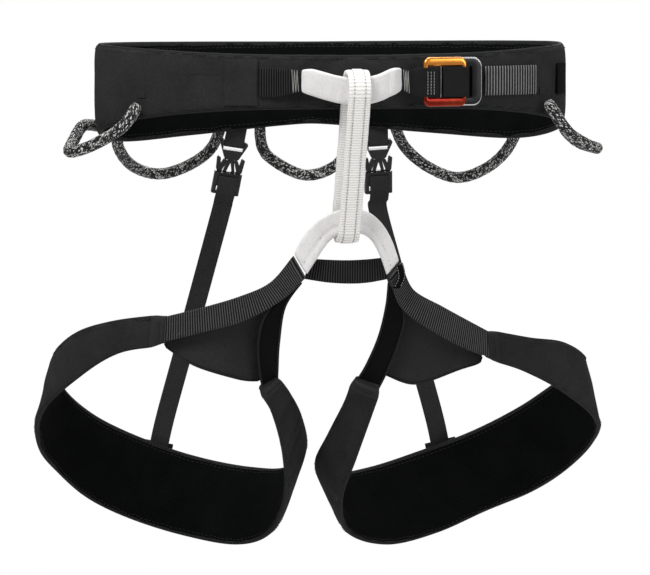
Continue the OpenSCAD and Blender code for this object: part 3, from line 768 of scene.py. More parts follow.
def binding(name, strip, body, half, nodes=(), edges=(0, 1), reach=2.4):
    """Tape folded round a pad's edges, with a row of stitches on its outer side."""
    parts, threads = [], []
    for e in edges:
        sgn = 1 if e == 0 else -1
        w0 = np.zeros_like(strip.width) if e == 0 else strip.width
        prof = [(reach, half + 0.35), (reach * 0.4, half + 0.45), (-0.45, half * 0.75),
                (-0.95, 0.25 * half), (-0.95, -0.25 * half),
                (-0.45, -half * 0.75), (reach * 0.4, -half - 0.45), (reach, -half - 0.35),
                (reach, -half + 0.5), (0.6, 0), (reach, half - 0.5)]
        ring = np.stack([strip.at(w0 + sgn * w, d) for w, d in prof], 1)
        o = loft(name + str(e), ring, strip.s, closed_u=strip.closed)
        parts.append(o)
        for face in (1, -1):
            path = strip.at(w0 + sgn * reach * 0.62, face * (half + 0.45))
            if strip.closed:
                path = np.vstack([path, path[:1]])
                nrm = np.vstack([strip.normal, strip.normal[:1]]) * face
            else:
                nrm = strip.normal * face
            threads.append(stitches(name + "_t%d%d" % (e, face), path, nrm, 1.9, 0.9, 0.2, 0.02))
    tape = join(name, parts)
    subdivide(tape)
    place(tape, body, BINDING, nodes)
    seam = join(name + "_stitches", threads)
    place(seam, body, THREAD_DARK)
    return tape


binding("belt_edge_binding", belt_strip, "waistbelt", 1.5, ["belt_bindings"])


def long_seams(name, pad, body, inset):
    """Stitch rows along both edges of a pad, on its outer fabric and its lining."""
    rows = []
    share = inset / float(pad["strip"].width.mean())
    for outer in (True, False):
        for f in (share, 1 - share):
            line, nrm = surface_path(pad, f, outer, 0.12)
            if pad["strip"].closed:
                line, nrm = np.vstack([line, line[:1]]), np.vstack([nrm, nrm[:1]])
            rows.append(stitches("ls", line, nrm, 2.2, 1.0, 0.17, 0.02))
    return place(join(name, rows), body, THREAD_DARK)


long_seams("belt_long_seams", pads[0], "waistbelt", 5.5)

# seams on the belt's front right panel: one across and one down; the long seam above the lower edge is among
# the long_seams above
out = HALF_T + 0.15
angles = np.arange(-47, -27.9, 1)
line = np.array([belt_point(a, out, 9.0) for a in angles])
nrm = np.array([belt_out(a) for a in angles])
parts = [stitches("sa", line, nrm, 1.8, 0.7, 0.17)]
zs = np.linspace(17, -11, 24)
for a in (-28.2, -27.4):
    line = np.array([belt_point(a, out - 0.1, z) for z in zs])
    parts.append(stitches("sb", line, belt_out(a), 1.8, 0.7, 0.17))
seam = join("belt_panel_seams", parts)
place(seam, "waistbelt", THREAD_DARK)

patch = strap("belt_front_patch_fabric", Strip(band_rails(np.arange(-32.5, -23, 1.5), 0, 18.5, -10.5), 1,
                                               1.5), 3.1, 3.85, r=0.3)
place(patch, "waistbelt", SHELL, ["belt_front_patch"])
tongue = strap("belt_tongue_pad", Strip(band_rails(np.arange(6, 47, 2.5), 0, 18, -10), 1, 2.5),
               -HALF_T - 3.3, -HALF_T - 0.5, crown=0.1, r=1.2, across=8)
place(tongue, "waistbelt", SHELL, ["belt_tongue"])

# ------------------------------------------------------------------ front webbing
BUCKLE_A, BUCKLE_TURN = 23.4, math.radians(12.6)
BUCKLE = belt_point(BUCKLE_A, HALF_T, WEB_Z)
ADJ_LIFT, ADJ_T, ADJ_L, ADJ_R, BAR = 6.9, 2.4, -21.0, 8.6, 3.2


def from_buckle(x, y, z):
    c, s = math.cos(BUCKLE_TURN), math.sin(BUCKLE_TURN)
    return BUCKLE + np.array([x * c - y * s, x * s + y * c, z])


SLEEVE = [[-34.5, -85.5, 1.2, 14], [-28.5, -89.7, 0.2, 17], [-16, -96, -3.4, 17.3], [-3, -99, -5.3, 17.1],
          [10, -96.5, -3.4, 17.3], [20.5, -91, 0.4, 17], [26.5, -86.5, 1.8, 14.5]]
ON_BELT = HALF_T + 0.1


def up_down(p, z, h):
    return np.array([p[0], p[1], z + h, p[0], p[1], z - h])


tie_rails = [up_down(belt_point(-23.2, ON_BELT, 0), WEB_Z, 9.5),
             up_down(belt_point(-18.5, ON_BELT + 0.5, 0), WEB_Z, 9.25)]
tie_rails += [up_down(r, WEB_Z + r[2], 6.75) for r in SLEEVE]
for x, y, h in ((-29, -5, 7.5), (-24, -ADJ_LIFT - ADJ_T - 0.6, 9), (-12, -ADJ_LIFT - ADJ_T - 1, 9)):
    tie_rails.append(np.concatenate([from_buckle(x, y, h), from_buckle(x, y, -h)]))
tie_strip = Strip(tie_rails, 1, 0.7, steps=14)
tie = strap("tie_in_webbing_band", tie_strip, 0, 1.8, across=7)
place(tie, "waistbelt", BLACK_WEB, ["tie_in_webbing"])

# ribs sewn over the webbing's end on the belt
rib_strip = Strip(tie_rails[:3], 1, 0.25, steps=14, trim=(0.6, 7.5))
ribs = strap("tie_in_rib_stitching", rib_strip, 1.75, 1.95, inset=0.6, across=9,
             ribs=(RIB_PITCH, 0.42, 0, 1), r=0.1)
place(ribs, "waistbelt", RIB_DARK)


def tie_in_sleeve():
    """The white sleeve: one soft flat tube with sewn edges."""
    rows = smooth([list(r) for r in SLEEVE], 16)
    sl = Strip([up_down(r, WEB_Z + r[2], r[3] / 2) for r in rows], 1, 0.9, steps=2)
    n = len(sl.s)
    grid = []
    for i in range(n):
        f = sl.s[i] / sl.s[-1]
        end = min(1, min(f, 1 - f) / 0.05)
        gather = math.exp(-((min(f, 1 - f) - 0.11) / 0.05) ** 2)
        belay = math.exp(-((f - 0.5) / 0.12) ** 2)
        w = sl.width[i]
        ring = []
        ts = np.linspace(0, 1, 15)
        for k, t in enumerate(ts):
            edge = min(1, min(t, 1 - t) * 9)
            d = 2.0 + 1.15 * edge ** 0.5 * (0.55 + 0.45 * end) + 0.35 * gather * edge - 0.35 * belay * edge
            d += 0.42 * edge * noise.noise(Vector((sl.s[i] * 0.22, t * 2.2, 3)))
            d += 0.22 * edge * noise.noise(Vector((sl.s[i] * 0.75, t * 1.2, 8)))
            d -= 0.30 * math.exp(-((t - 0.13) / 0.035) ** 2) + 0.30 * math.exp(-((t - 0.87) / 0.035) ** 2)
            shift = 0.35 * noise.noise(Vector((sl.s[i] * 0.15, 9, t * 3)))
            ring.append(sl.point(i, t * w + shift, d))
        for t in ts[::-1]:
            edge = min(1, min(t, 1 - t) * 9)
            ring.append(sl.point(i, t * w, -0.35 - 0.95 * edge ** 0.5))
        grid.append(ring)
    sleeve = loft("tie_in_sleeve_fabric", np.array(grid), sl.s)
    subdivide(sleeve)
    place(sleeve, "waistbelt", WHITE, ["tie_in_sleeve"])
    parts = []
    for t in (0.13, 0.87):
        path = sl.at(t * sl.width, 2.75)
        parts.append(stitches("st", path[3:-3], sl.normal[3:-3], 1.7, 0.7, 0.17, 0.05))
    place(join("tie_in_sleeve_stitches", parts), "waistbelt", THREAD_WHITE)


tie_in_sleeve()


def bartack(name, rails, d, pitch=0.85, r=0.27, inset=0.4):
    """A zigzag of thread over a patch between two ends of a strap."""
    st = Strip(rails, 1, 0.3, steps=4)
    pts, n = [], max(2, int(st.length / pitch))
    for k in range(n + 1):
        f = k / n
        i = min(len(st.s) - 1, int(round(f * (len(st.s) - 1))))
        w = inset if k % 2 else st.width[i] - inset
        pts.append(st.point(i, w, d + 0.15))
    fine = []
    for a, b in zip(pts[:-1], pts[1:]):
        for t in np.linspace(0, 1, 14, endpoint=False):
            fine.append(a * (1 - t) + b * t)
    fine.append(pts[-1])
    return tube(name, np.array(fine), r, sides=6, plane=st.normal[len(st.s) // 2])


parts = []
for k, (f0, f1) in enumerate(((1.57, 1.84), (8.36, 8.95))):
    rails = [table_at(tie_rails, f0 + (f1 - f0) * q / 3) for q in range(4)]
    parts.append(bartack("bt%d" % k, rails, 2.0))
    parts.append(bartack("bu%d" % k, rails[::-1], 2.0))
bt = join("tie_in_bartack_thread", parts)
place(bt, "waistbelt", THREAD_GREY, ["tie_in_bartacks"])

# rows of stitching over the adjuster's left bar
parts = []
for f in (10.35, 10.5, 10.65):
    row = table_at(tie_rails, f)
    nn = tie_strip.normal[int(np.argmin(np.linalg.norm((tie_strip.top + tie_strip.low) / 2
                                                       - (row[:3] + row[3:]) / 2, axis=1)))]
    a, b = row[3:] + (row[:3] - row[3:]) * 0.05 + nn * 1.85, row[3:] + (row[:3] - row[3:]) * 0.95 + nn * 1.85
    parts.append(stitches("sv", np.linspace(a, b, 12), nn, 1.5, 0.35, 0.28))
place(join("adjuster_bar_stitches", parts), "waistbelt", THREAD_GREY)

# ------------------------------------------------------------------ waist strap, tail, keeper
waist_rails = [np.concatenate([from_buckle(x, y + 0.3, 9.5), from_buckle(x, y + 0.3, -9.5)])
               for x, y in ((-3, -4.6), (3, -3.2), (9, -1.7), (14, -1.2), (20, -0.5))]
waist_rails += band_rails(np.arange(33.8, 52.9, 3.8), ON_BELT, WEB_Z + 9.5, WEB_Z - 9.5)
ws = strap("waist_strap_band", Strip(waist_rails, 1, 0.9), 0, 1.1, across=6)
place(ws, "waistbelt", BLACK_WEB, ["waist_strap"])
tail_strip = Strip(band_rails(np.arange(33.8, 53.2, 1.7), ON_BELT + 1.2, WEB_Z + 9.3, WEB_Z - 9.3), 1, 0.3)
tail = strap("waist_strap_tail_ribbed", tail_strip, 0, 0.85, across=10, ribs=(TAIL_PITCH, 0.55, 0, 1), r=0.35)
place(tail, "waistbelt", RIB_WAIST, ["waist_strap_tail"])
keeper = strap("strap_keeper_elastic", Strip(band_rails(np.arange(66, 75.1, 1), 0, 14, -6), 1, 0.8),
               HALF_T + 0.15, HALF_T + 1.3, across=7, r=0.4)
place(keeper, "waistbelt", VELVET, ["strap_keeper"])
parts = []
for a in (63.5, 77.2):
    line = np.array([belt_point(a, HALF_T + 0.1, z) for z in np.linspace(16, -9, 20)])
    parts.append(stitches("sk", line, belt_out(a), 1.7, 0.7, 0.17))
place(join("keeper_seams", parts), "waistbelt", THREAD_DARK)


# ------------------------------------------------------------------ metal frames
def frame_mesh(name, x0, x1, high, bl, br, bz, lift, t, corner, inner_corner, bevel):
    """A flat metal frame with a window, its edges rolled over; local x along the belt, z up."""
    def rounded(ax0, ax1, az0, az1, rad, seg=9):
        pts = []
        for cx, cz, a0 in ((ax1 - rad, az1 - rad, 0), (ax0 + rad, az1 - rad, 90),
                           (ax0 + rad, az0 + rad, 180), (ax1 - rad, az0 + rad, 270)):
            for k in range(seg):
                a = math.radians(a0 + 90 * k / (seg - 1))
                pts.append((cx + rad * math.cos(a), cz + rad * math.sin(a)))
        return np.array(pts)

    h = high / 2
    outer = rounded(x0, x1, -h, h, corner)
    inner = rounded(x0 + bl, x1 - br, -h + bz, h - bz, inner_corner)

    def shrink(p, amount, grow=1):
        lo, hi = p.min(0), p.max(0)
        s = 1 - grow * 2 * amount / (hi - lo)
        return (p - (lo + hi) / 2) * s + (lo + hi) / 2
    b = bevel
    loops = [(shrink(outer, b), -lift - t), (shrink(outer, b * 0.3), -lift - t + b * 0.3),
             (outer, -lift - t + b), (outer, -lift - b),
             (shrink(outer, b * 0.3), -lift - b * 0.3), (shrink(outer, b), -lift),
             (shrink(inner, b, -1), -lift), (shrink(inner, b * 0.3, -1), -lift - b * 0.3), (inner, -lift - b),
             (inner, -lift - t + b), (shrink(inner, b * 0.3, -1), -lift - t + b * 0.3),
             (shrink(inner, b, -1), -lift - t)]
    m = len(outer)
    grid = np.array([[from_buckle(p[0], y, p[1]) for p in pts] for pts, y in loops])
    verts = grid.reshape(-1, 3)
    faces, slots = [], []
    for i in range(len(loops)):
        for j in range(m):
            a, b2 = i * m, ((i + 1) % len(loops)) * m
            faces.append((a + j, a + (j + 1) % m, b2 + (j + 1) % m, b2 + j))
            slots.append(1 if i in (0, 1) else 0)
    o = mesh_object(name, verts, faces, [tuple((0, 0) for _ in f) for f in faces])
    return o, slots


def metal(obj_slots, *mats):
    """Paints a frame and then sets which faces are the bright bevel."""
    obj, slots = obj_slots
    paint(obj, *mats)
    obj.data.polygons.foreach_set("material_index", [min(k, len(mats) - 1) for k in slots])
    return obj


lock = metal(frame_mesh("buckle_lock_frame_metal", x0=-8, x1=21, high=30.4, bl=4, br=7.2, bz=5.2, lift=3.2,
                        t=2.2,
                        corner=6, inner_corner=1.2, bevel=0.75), LOCK_BLACK, SILVER)
place(lock, "waistbelt", None, ["buckle_lock_frame"])
adj = metal(frame_mesh("buckle_adjust_frame_metal", ADJ_L, ADJ_R, high=31, bl=BAR, br=BAR, bz=5.7,
                       lift=ADJ_LIFT, t=ADJ_T,
                       corner=4.4, inner_corner=1.0, bevel=1.1), ORANGE)
place(adj, "adjuster", None, ["buckle_adjust_frame"])

# the strap's turn round the adjusting frame's right bar
front = -ADJ_LIFT - ADJ_T - 0.1
path = [(-8.4, front - 0.95), (-4, front - 0.95), (2, front - 0.95), (6.5, front - 0.95), (8.9, front - 0.75),
        (9.6, front + 0.3), (9.6, -ADJ_LIFT - 0.9), (8.9, -ADJ_LIFT + 0.55), (6.5, -ADJ_LIFT + 0.65),
        (1.9, -ADJ_LIFT + 0.65)]
wrap_rails = [np.concatenate([from_buckle(x, y, 9.5), from_buckle(x, y, -9.5)]) for x, y in path]
wrap = strap("adjuster_strap_turn", Strip(wrap_rails, 1, 0.5, steps=6), -0.5, 0.5, across=8)
place(wrap, "adjuster", BLACK_WEB, ["adjuster_wrap"])

# ------------------------------------------------------------------ gear loops
GEAR_D = 7.6
GEAR_OUT = HALF_T + GEAR_D / 2 + 1
GEARS = {
    "front_right": (-58, -112, [[-143, -49, -24], [-160, -36, -36], [-173, -20, -41], [-168, -2, -34],
                                [-160, 14, -26]]),
    "rear_right": (-121, -158, [[-131, 60, -44], [-118, 84, -57], [-99, 96, -62.5], [-79, 99, -57],
                                [-64, 95, -45]]),
    "centre": (-167.6, -191.8, [[-30, 94, -45], [-18.6, 98, -56.5], [0, 99, -64.5], [17, 98, -60.5],
                                [27, 94, -49]]),
    "rear_left": (159, 120.5, [[67, 94, -45], [84, 97, -59.5], [104, 95, -67], [121, 83, -60.5],
                               [131, 63, -47]]),
    "front_left": (56.8, 101, [[145, -46, -29], [160, -34, -38], [172, -19, -42], [165, -4, -39.5],
                               [159.5, 9, -33.5]]),
}


def gear_loops():
    """The five braided sleeves, and the flat tabs over their ends."""
    tabs = []
    for name, (a0, a1, mids) in GEARS.items():
        ends = [belt_point(a, GEAR_OUT, belt_edge(a, 1) + 8) for a in (a0, a1)]
        line = even([ends[0], *mids, ends[1]], 1.1)
        plane = unit(np.cross(line[-1] - line[0], line[len(line) // 2] - line[0]))
        s = np.linspace(0, 1, len(line))
        rad = GEAR_D / 2 * np.minimum(1, 0.72 + 0.28 * np.minimum(s, 1 - s) / 0.03)
        o = tube("gear_loop_%s_sleeve" % name, line, rad, sides=22, plane=plane, lump=0.05)
        place(o, "gear_" + name, BRAID, ["gear_loop_" + name])
        for a in (a0, a1):
            z = belt_edge(a, 1) + 8
            rails = [np.concatenate([belt_point(a + da, HALF_T, z + 9.0),
                                     belt_point(a + da, HALF_T, z + 4.2)]) for da in (-1.5, -0.5, 0.5, 1.5)]
            tabs.append(strap("tab", Strip(rails, 1, 0.7), 0.0, 0.6, r=0.28))
    place(join("gear_loop_tab_webbing", tabs), "waistbelt", SHELL, ["gear_loop_tabs"])


gear_loops()


# ------------------------------------------------------------------ belay loop
B_TOP, B_LOW = np.array([-3, -100.1, 0.4]), np.array([-3, -65.5, -85.9])
B_R, B_T, B_W = 8.6, 3.6, 14.5
B_LEN = float(np.linalg.norm(B_LOW - B_TOP))
b_down = (B_LOW - B_TOP) / B_LEN
b_fwd = unit(np.array([0, b_down[2], -b_down[1]]))      # toward the front


def belay_path(r, ds=0.45):
    """The loop's line: down the front, round below, up the back, round above; with outward normals."""
    pts, nrm = [], []
    n = int(B_LEN / ds)
    for k in range(n):
        pts.append(B_TOP + b_down * (B_LEN * k / n) + b_fwd * r); nrm.append(b_fwd)
    m = int(math.pi * r / ds)
    for k in range(m):
        a = math.pi * k / m
        d = b_fwd * math.cos(a) + b_down * math.sin(a)
        pts.append(B_LOW + d * r); nrm.append(d)
    for k in range(n):
        pts.append(B_LOW - b_down * (B_LEN * k / n) - b_fwd * r); nrm.append(-b_fwd)
    for k in range(m):
        a = math.pi * k / m
        d = -b_fwd * math.cos(a) - b_down * math.sin(a)
        pts.append(B_TOP + d * r); nrm.append(d)
    return np.array(pts), np.array(nrm)


def belay_loop():
    """The sewn loop, raised along the middle of its outer face, with a row of stitches at each side."""
    pts, nrm = belay_path(B_R)
    s = running(pts)
    x_axis = np.array([1.0, 0, 0])
    grid = []
    for i in range(len(pts)):
        ring = []
        wob = 0.35 * noise.noise(Vector((s[i] * 0.06, 1, 1)))
        half = B_W / 2 - 0.25 + 0.2 * noise.noise(Vector((s[i] * 0.12, 5, 1)))
        for t in np.linspace(-1, 1, 21):
            d = B_T - 0.35 * abs(t) ** 6
            if abs(t) < 0.5:
                d += 0.45
            d -= 0.4 * math.exp(-((abs(t) - 0.5) / 0.07) ** 2)
            d += 0.05 * math.cos(TAU * s[i] / 1.7) * (1 if abs(t) < 0.46 else 0.4)
            ring.append(pts[i] + nrm[i] * (d - 0.15) + x_axis * (t * half + wob))
        for t in np.linspace(1, -1, 13):
            ring.append(pts[i] + nrm[i] * (0.1 + 0.5 * abs(t) ** 8)
                        + x_axis * (t * (half - 0.3 * abs(t) ** 8) + wob))
        grid.append(ring)
    belay = loft("belay_loop_band", np.array(grid), s, closed_u=True)
    place(belay, "belay_loop", WHITE_RIB, ["belay_loop_webbing", "belay_loop_bartack_strip"])
    parts = []
    for t in (-0.5, 0.5):
        line = pts + nrm * (B_T - 0.1) + x_axis * (t * (B_W / 2 - 0.25))
        parts.append(stitches("bl", line, nrm, 1.1, 1.0, 0.26, 0.0))
    place(join("belay_loop_stitches", parts), "belay_loop", THREAD_PALE)


belay_loop()


# ------------------------------------------------------------------ lower tie-in
ARCH_Y = -65.0
ARCH = [[-36, -103.5, -28, -117], [-31, -94, -22, -108], [-22, -84, -15, -98], [-11, -78, -8, -93],
        [0, -76, 0, -92],
        [11, -78.5, 8, -93], [20, -86, 14, -98], [26.5, -97, 19, -107.5], [31, -110, 23, -119]]


def lower_tie_in():
    """The white arch: a rolled tube along its inner edge and a flatter lobe outside it."""
    arch = Strip([[r[0], ARCH_Y, r[1], r[2], ARCH_Y, r[3]] for r in ARCH], 1, 0.9, steps=12)
    if arch.normal[0][1] > 0:
        arch.normal = -arch.normal
    for k in range(5):
        arch.top[k] -= arch.along[0] * 1.2 * (1 - k / 5)
        arch.low[k] -= arch.along[0] * 1.2 * (1 - k / 5)
    grid = []
    for i in range(len(arch.s)):
        w, f = arch.width[i], arch.s[i] / arch.s[-1]
        end = min(1, min(f, 1 - f) / 0.04) ** 0.5
        ring = []
        for t in np.linspace(0, 1, 21):
            # a rolled tube along the inner edge, then a groove, then the flatter outer lobe
            lobe = math.sqrt(max(0, 1 - ((t - 0.17) / 0.19) ** 2)) if t < 0.36 else 0
            flat = max(0, 1 - ((t - 0.68) / 0.345) ** 4) ** 0.5 if t >= 0.335 else 0
            d = 0.9 + 2.0 * lobe * (0.7 + 0.3 * end) + 1.55 * flat * (0.7 + 0.3 * end)
            d += 0.3 * noise.noise(Vector((arch.s[i] * 0.16, t * 2,
                                           2))) + 0.16 * noise.noise(Vector((arch.s[i] * 0.6, t * 1.5, 6)))
            ring.append(arch.point(i, t * w, d))
        for t in np.linspace(1, 0, 11):
            e = min(1, min(t, 1 - t) * 6) ** 0.5
            ring.append(arch.point(i, t * w, -0.9 - 1.5 * e))
        grid.append(ring)
    sleeve2 = loft("lower_tie_in_sleeve_fabric", np.array(grid), arch.s)
    subdivide(sleeve2)
    place(sleeve2, "leg_yoke", WHITE, ["lower_tie_in_sleeve", "lower_tie_in_webbing"])
    path = arch.at(0.40 * arch.width, 1.9)
    o = stitches("lower_tie_in_stitches", path[2:-2], arch.normal[2:-2], 1.8, 0.8, 0.18, 0.05)
    place(o, "leg_yoke", THREAD_PALE)


lower_tie_in()

bridge = Strip([[-26, -61, -108, -29, -61, -121], [-13, -60.5, -109, -14, -60.5, -123.5],
                [0, -60, -109.5, 0, -60, -124.5],
                [12, -60.5, -109, 12, -60.5, -124], [22, -61, -108, 24, -61, -122]], 1, 0.28)
br = strap("leg_bridge_ribbed", bridge, -0.8, 0.7, across=10, ribs=(RIB_PITCH, 0.35, 0.0, 1.0), r=0.5,
           crown=0.0)
place(br, "leg_yoke", RIB_DARK, ["leg_bridge_webbing"])

# ------------------------------------------------------------------ leg loops
ARM_OUT = {
    "right": [[-37.5, -64, -106.5, -29.5, -64, -120.5], [-50, -55, -123, -42, -56, -134],
              [-69, -50, -132, -66, -48, -148],
              [-94, -42, -140, -93, -40, -156]],
    "left": [[32.5, -64, -112, 25, -64, -121.5], [42, -55, -129, 34, -56, -141],
             [62, -50, -140.5, 58, -48, -158],
             [83, -42, -152, 81, -40, -170]],
}
ARM_IN = {
    "right": [[-31, -63, -123, -44, -54, -131], [-40, -53, -139, -54, -50, -147],
              [-42, -43, -163, -56, -41, -164], [-41, -31, -180, -53, -30, -184]],
    "left": [[24.5, -63, -123.5, 36, -54, -140], [25, -53, -139, 38, -50, -150],
             [22, -43, -160, 36, -41, -165], [16, -31, -180, 31, -30, -184]],
}
PANEL_RAILS = {
    "right": [[-112, -30.5, -157, -112, -30.5, -167], [-92, -39, -153, -95, -35, -178],
              [-66, -46, -145, -68, -34, -187], [-50, -48.5, -134, -53.5, -24, -190]],
    "left": [[92, -30.5, -168, 92, -30.5, -180], [81, -38, -166, 78, -34, -184],
             [58, -46, -154, 50, -30, -193.5], [40, -49.5, -141, 31, -25, -188]],
}


def mouth(row, nxt, step=7.6, inset=1.2):
    row, nxt = np.array(row, float), np.array(nxt, float)
    back_dir = unit(nxt[:3] + nxt[3:] - row[:3] - row[3:])
    ac = unit(row[:3] - row[3:])
    return np.concatenate([row[:3] - step * back_dir - inset * ac, row[3:] - step * back_dir + inset * ac])


def extend(strip, reach):
    """Moves the strap's first stations back along its line, so that it reaches its neighbour."""
    n = 6
    for k in range(n):
        shift = -strip.along[0] * reach * (1 - k / n)
        strip.top[k] += shift
        strip.low[k] += shift
    return strip


def leg_loop(i, s):
    """Everything sewn to one leg loop."""
    body = "leg_loop_" + s
    sg = SIDE[s]
    p = pads[1 + i]
    shell, lining = split_pad(p, "leg_shell_fabric_" + s, "leg_lining_fabric_" + s)
    place(shell, body, SHELL, ["leg_shell_" + s, "leg_foam_" + s])
    place(lining, body, LINING, ["leg_lining_" + s])
    long_seams("leg_long_seams_" + s, p, body, 4.5)
    binding("leg_edge_binding_" + s, leg_strip[s], body, 1.15, ["leg_bindings_" + s], reach=1.7)
    first, second, last, before = BAND[s][0], BAND[s][1], BAND[s][-1], BAND[s][-2]
    outer = Strip(ARM_OUT[s] + [mouth(first, second, 3.0)], sg, 0.3, steps=12)
    outer = extend(outer, 1.5)
    o = strap("leg_outer_arm_ribbed_" + s, outer, 0.7, 2.0, across=12, ribs=(ARM_PITCH, 0.36, 0.0, 1.0),
              r=0.5)
    place(o, body, RIB_GREY, ["leg_outer_arm_" + s])
    inner = Strip(ARM_IN[s] + [mouth(last, before, 3.0)], -sg, 0.5, steps=12)
    o = strap("leg_inner_arm_band_" + s, inner, -0.9, 0.35, across=10, r=0.5, crown=0.5)
    place(o, body, VELVET, ["leg_inner_arm_" + s])
    # corded edges of the inner arm
    parts = []
    for share in (0.03, 0.97):
        line = inner.at(share * inner.width, 0.35)
        parts.append(tube("c", line, 0.75, sides=8, plane=inner.normal[len(inner.s) // 2]))
    place(join("leg_inner_arm_piping_" + s, parts), body, BINDING)
    rails = arr(PANEL_RAILS[s])
    near = np.concatenate([rails[0, :3] * 0.75 + rails[0, 3:] * 0.25,
                           rails[0, :3] * 0.3 + rails[0, 3:] * 0.7])
    away = np.tile(unit(rails[0, :3] + rails[0, 3:] - rails[1, :3] - rails[1, 3:]), 2)
    into = np.tile(unit(rails[-1, :3] + rails[-1, 3:] - rails[-2, :3] - rails[-2, 3:]), 2)
    rails = np.vstack([near + away * 2.6, rails, rails[-1] + into * 3.0])
    pn = Strip(rails, -sg, 1.5, steps=12)
    tuck = 3.2 * np.minimum(1, pn.s / 12)
    pn.top = pn.top + pn.across * tuck[:, None]
    pn.width = pn.width + tuck
    g = []
    for k in range(len(pn.s)):
        f = pn.s[k] / pn.s[-1]
        ring = []
        for q, t in enumerate(np.linspace(0, 1, 17)):
            sag = 1.1 * math.sin(math.pi * f) * math.sin(math.pi * t)
            d = -1.6 - sag + 0.12 * noise.noise(Vector((f * 5, t * 4, 4 + i)))
            ring.append(pn.point(k, t * pn.width[k], d))
        for t in np.linspace(1, 0, 17):
            sag = 1.1 * math.sin(math.pi * f) * math.sin(math.pi * t)
            ring.append(pn.point(k, t * pn.width[k], -2.4 - sag))
        g.append(ring)
    panel = loft("leg_stretch_panel_knit_" + s, np.array(g), pn.s)
    place(panel, body, PANEL, ["leg_stretch_panel_" + s])
    # hem along the panel's free edge
    hem = pn.at(0, -2.0)
    hem_tube = tube("leg_panel_hem_" + s, hem, 0.85, sides=8, plane=pn.normal[len(pn.s) // 2])
    place(hem_tube, body, BINDING)
    # rolled sleeves at the band's ends
    parts, threads = [], []
    for row, nxt, side2 in ((first, second, sg), (last, before, -sg)):
        row, nxt = np.array(row, float), np.array(nxt, float)
        bd = unit(nxt[:3] + nxt[3:] - row[:3] - row[3:])
        ac = unit(row[:3] - row[3:])
        rails = []
        for t, e in ((-8.4, -0.7), (-7, -0.6), (-4, 0.0), (-1, 0.6), (1.6, 0.9)):
            rails.append(np.concatenate([row[:3] + bd * t + ac * e, row[3:] + bd * t - ac * e]))
        st = Strip(rails, side2, 0.45, steps=6)
        g = []
        for k in range(len(st.s)):
            f = st.s[k] / st.s[-1]
            rim = math.exp(-((f - 0.10) / 0.10) ** 2)
            hd = 2.7 + 1.0 * rim + 0.7 * math.sin(math.pi * f) + 0.3 * noise.noise(Vector((f * 5, 1, i)))
            if f < 0.03:
                hd -= 1.0
            ring = []
            nn = 26
            for q in range(nn):
                a = TAU * q / nn
                c, sn = math.cos(a), math.sin(a)
                w = st.width[k] / 2 + (st.width[k] / 2) * math.copysign(abs(c) ** 0.5, c)
                d = hd * math.copysign(abs(sn) ** 0.6, sn) + 0.15 * noise.noise(Vector((k * 0.2, q * 0.6, i)))
                ring.append(st.point(k, w, d))
            g.append(ring)
        parts.append(loft("js", np.array(g), st.s))
        for f in (0.32, 0.55):
            k = int(f * len(st.s))
            hd = 2.7 + 0.7 * math.sin(math.pi * f) + 0.15
            for face in (1, -1):
                a = st.point(k, 1.5, hd * 0.98 * face)
                b = st.point(k, st.width[k] - 1.5, hd * 0.98 * face)
                threads.append(stitches("jt", np.linspace(a, b, 14), st.normal[k] * face, 1.5, 0.6, 0.19))
    place(join("leg_arm_sleeve_fabric_" + s, parts), body, SHELL, ["leg_arm_sleeves_" + s])
    place(join("leg_arm_sleeve_stitches_" + s, threads), body, THREAD_DARK)
    # line of stitches between the outer arm and the panel
    parts = []
    for share in (0.06, 0.94):
        line = outer.at(share * outer.width, 2.1)
        parts.append(stitches("oa", line[4:-8], outer.normal[4:-8], 1.3, 0.65, 0.2))
    place(join("leg_outer_arm_stitches_" + s, parts), body, THREAD_DARK)


for i, s in enumerate(("right", "left")):
    leg_loop(i, s)

# small folded tab beside the arch's foot on the wearer's left
tab_strip = Strip([[33.0, -67.5, -111, 28.5, -67.5, -113.5], [34.5, -67.5, -119, 29.5, -67.5, -120.5],
                   [31.5, -66.5, -127, 26.5, -66.5, -127.0]], 1, 0.5)
if tab_strip.normal[0][1] > 0:
    tab_strip.normal = -tab_strip.normal
tb = strap("junction_tab_left", tab_strip, 0.2, 1.6, across=6, r=0.5, crown=0.3)
place(tb, "leg_loop_left", VELVET)
parts = []
for share in (0.12, 0.88):
    line = tab_strip.at(share * tab_strip.width, 1.7)
    parts.append(stitches("jt", line, tab_strip.normal, 1.2, 0.5, 0.2))
place(join("junction_tab_stitches_left", parts), "leg_loop_left", THREAD_GREY)

# ------------------------------------------------------------------ rear straps and buckles
LEAN_BACK, REAR_Y, REAR_Z, REAR_GAP, REAR_WEB, BAR_DROP = 13.0, 78.0, -33.0, 48.0, 13.0, 9.0
REAR_MID = -2.0
LEAN_OUT = {"right": 9.0, "left": 3.0}
ANCHOR = {"right": np.array([-95.5, 138.5, -252.0]), "left": np.array([104, 141, -256.0])}
RELEASE_T, FEMALE_TOP, FEMALE_LEN = 6.4, 29.2, 15.0


def rear_frame(s):
    """The strap's own axes: across it, toward the back, and down along it."""
    sg, a, b = SIDE[s], math.radians(LEAN_BACK), math.radians(LEAN_OUT[s])
    xa = np.array([math.cos(b), 0, sg * math.sin(b)])
    down = np.array([sg * math.cos(a) * math.sin(b), math.sin(a), -math.cos(a) * math.cos(b)])
    ya = np.cross(xa, down)
    ya = ya if ya[1] > 0 else -ya
    origin = np.array([REAR_MID + sg * REAR_GAP, REAR_Y, REAR_Z])
    return origin, xa, ya, down


def rear_at(s, x, y, drop):
    o, xa, ya, dn = rear_frame(s)
    return o + xa * x + ya * y + dn * drop


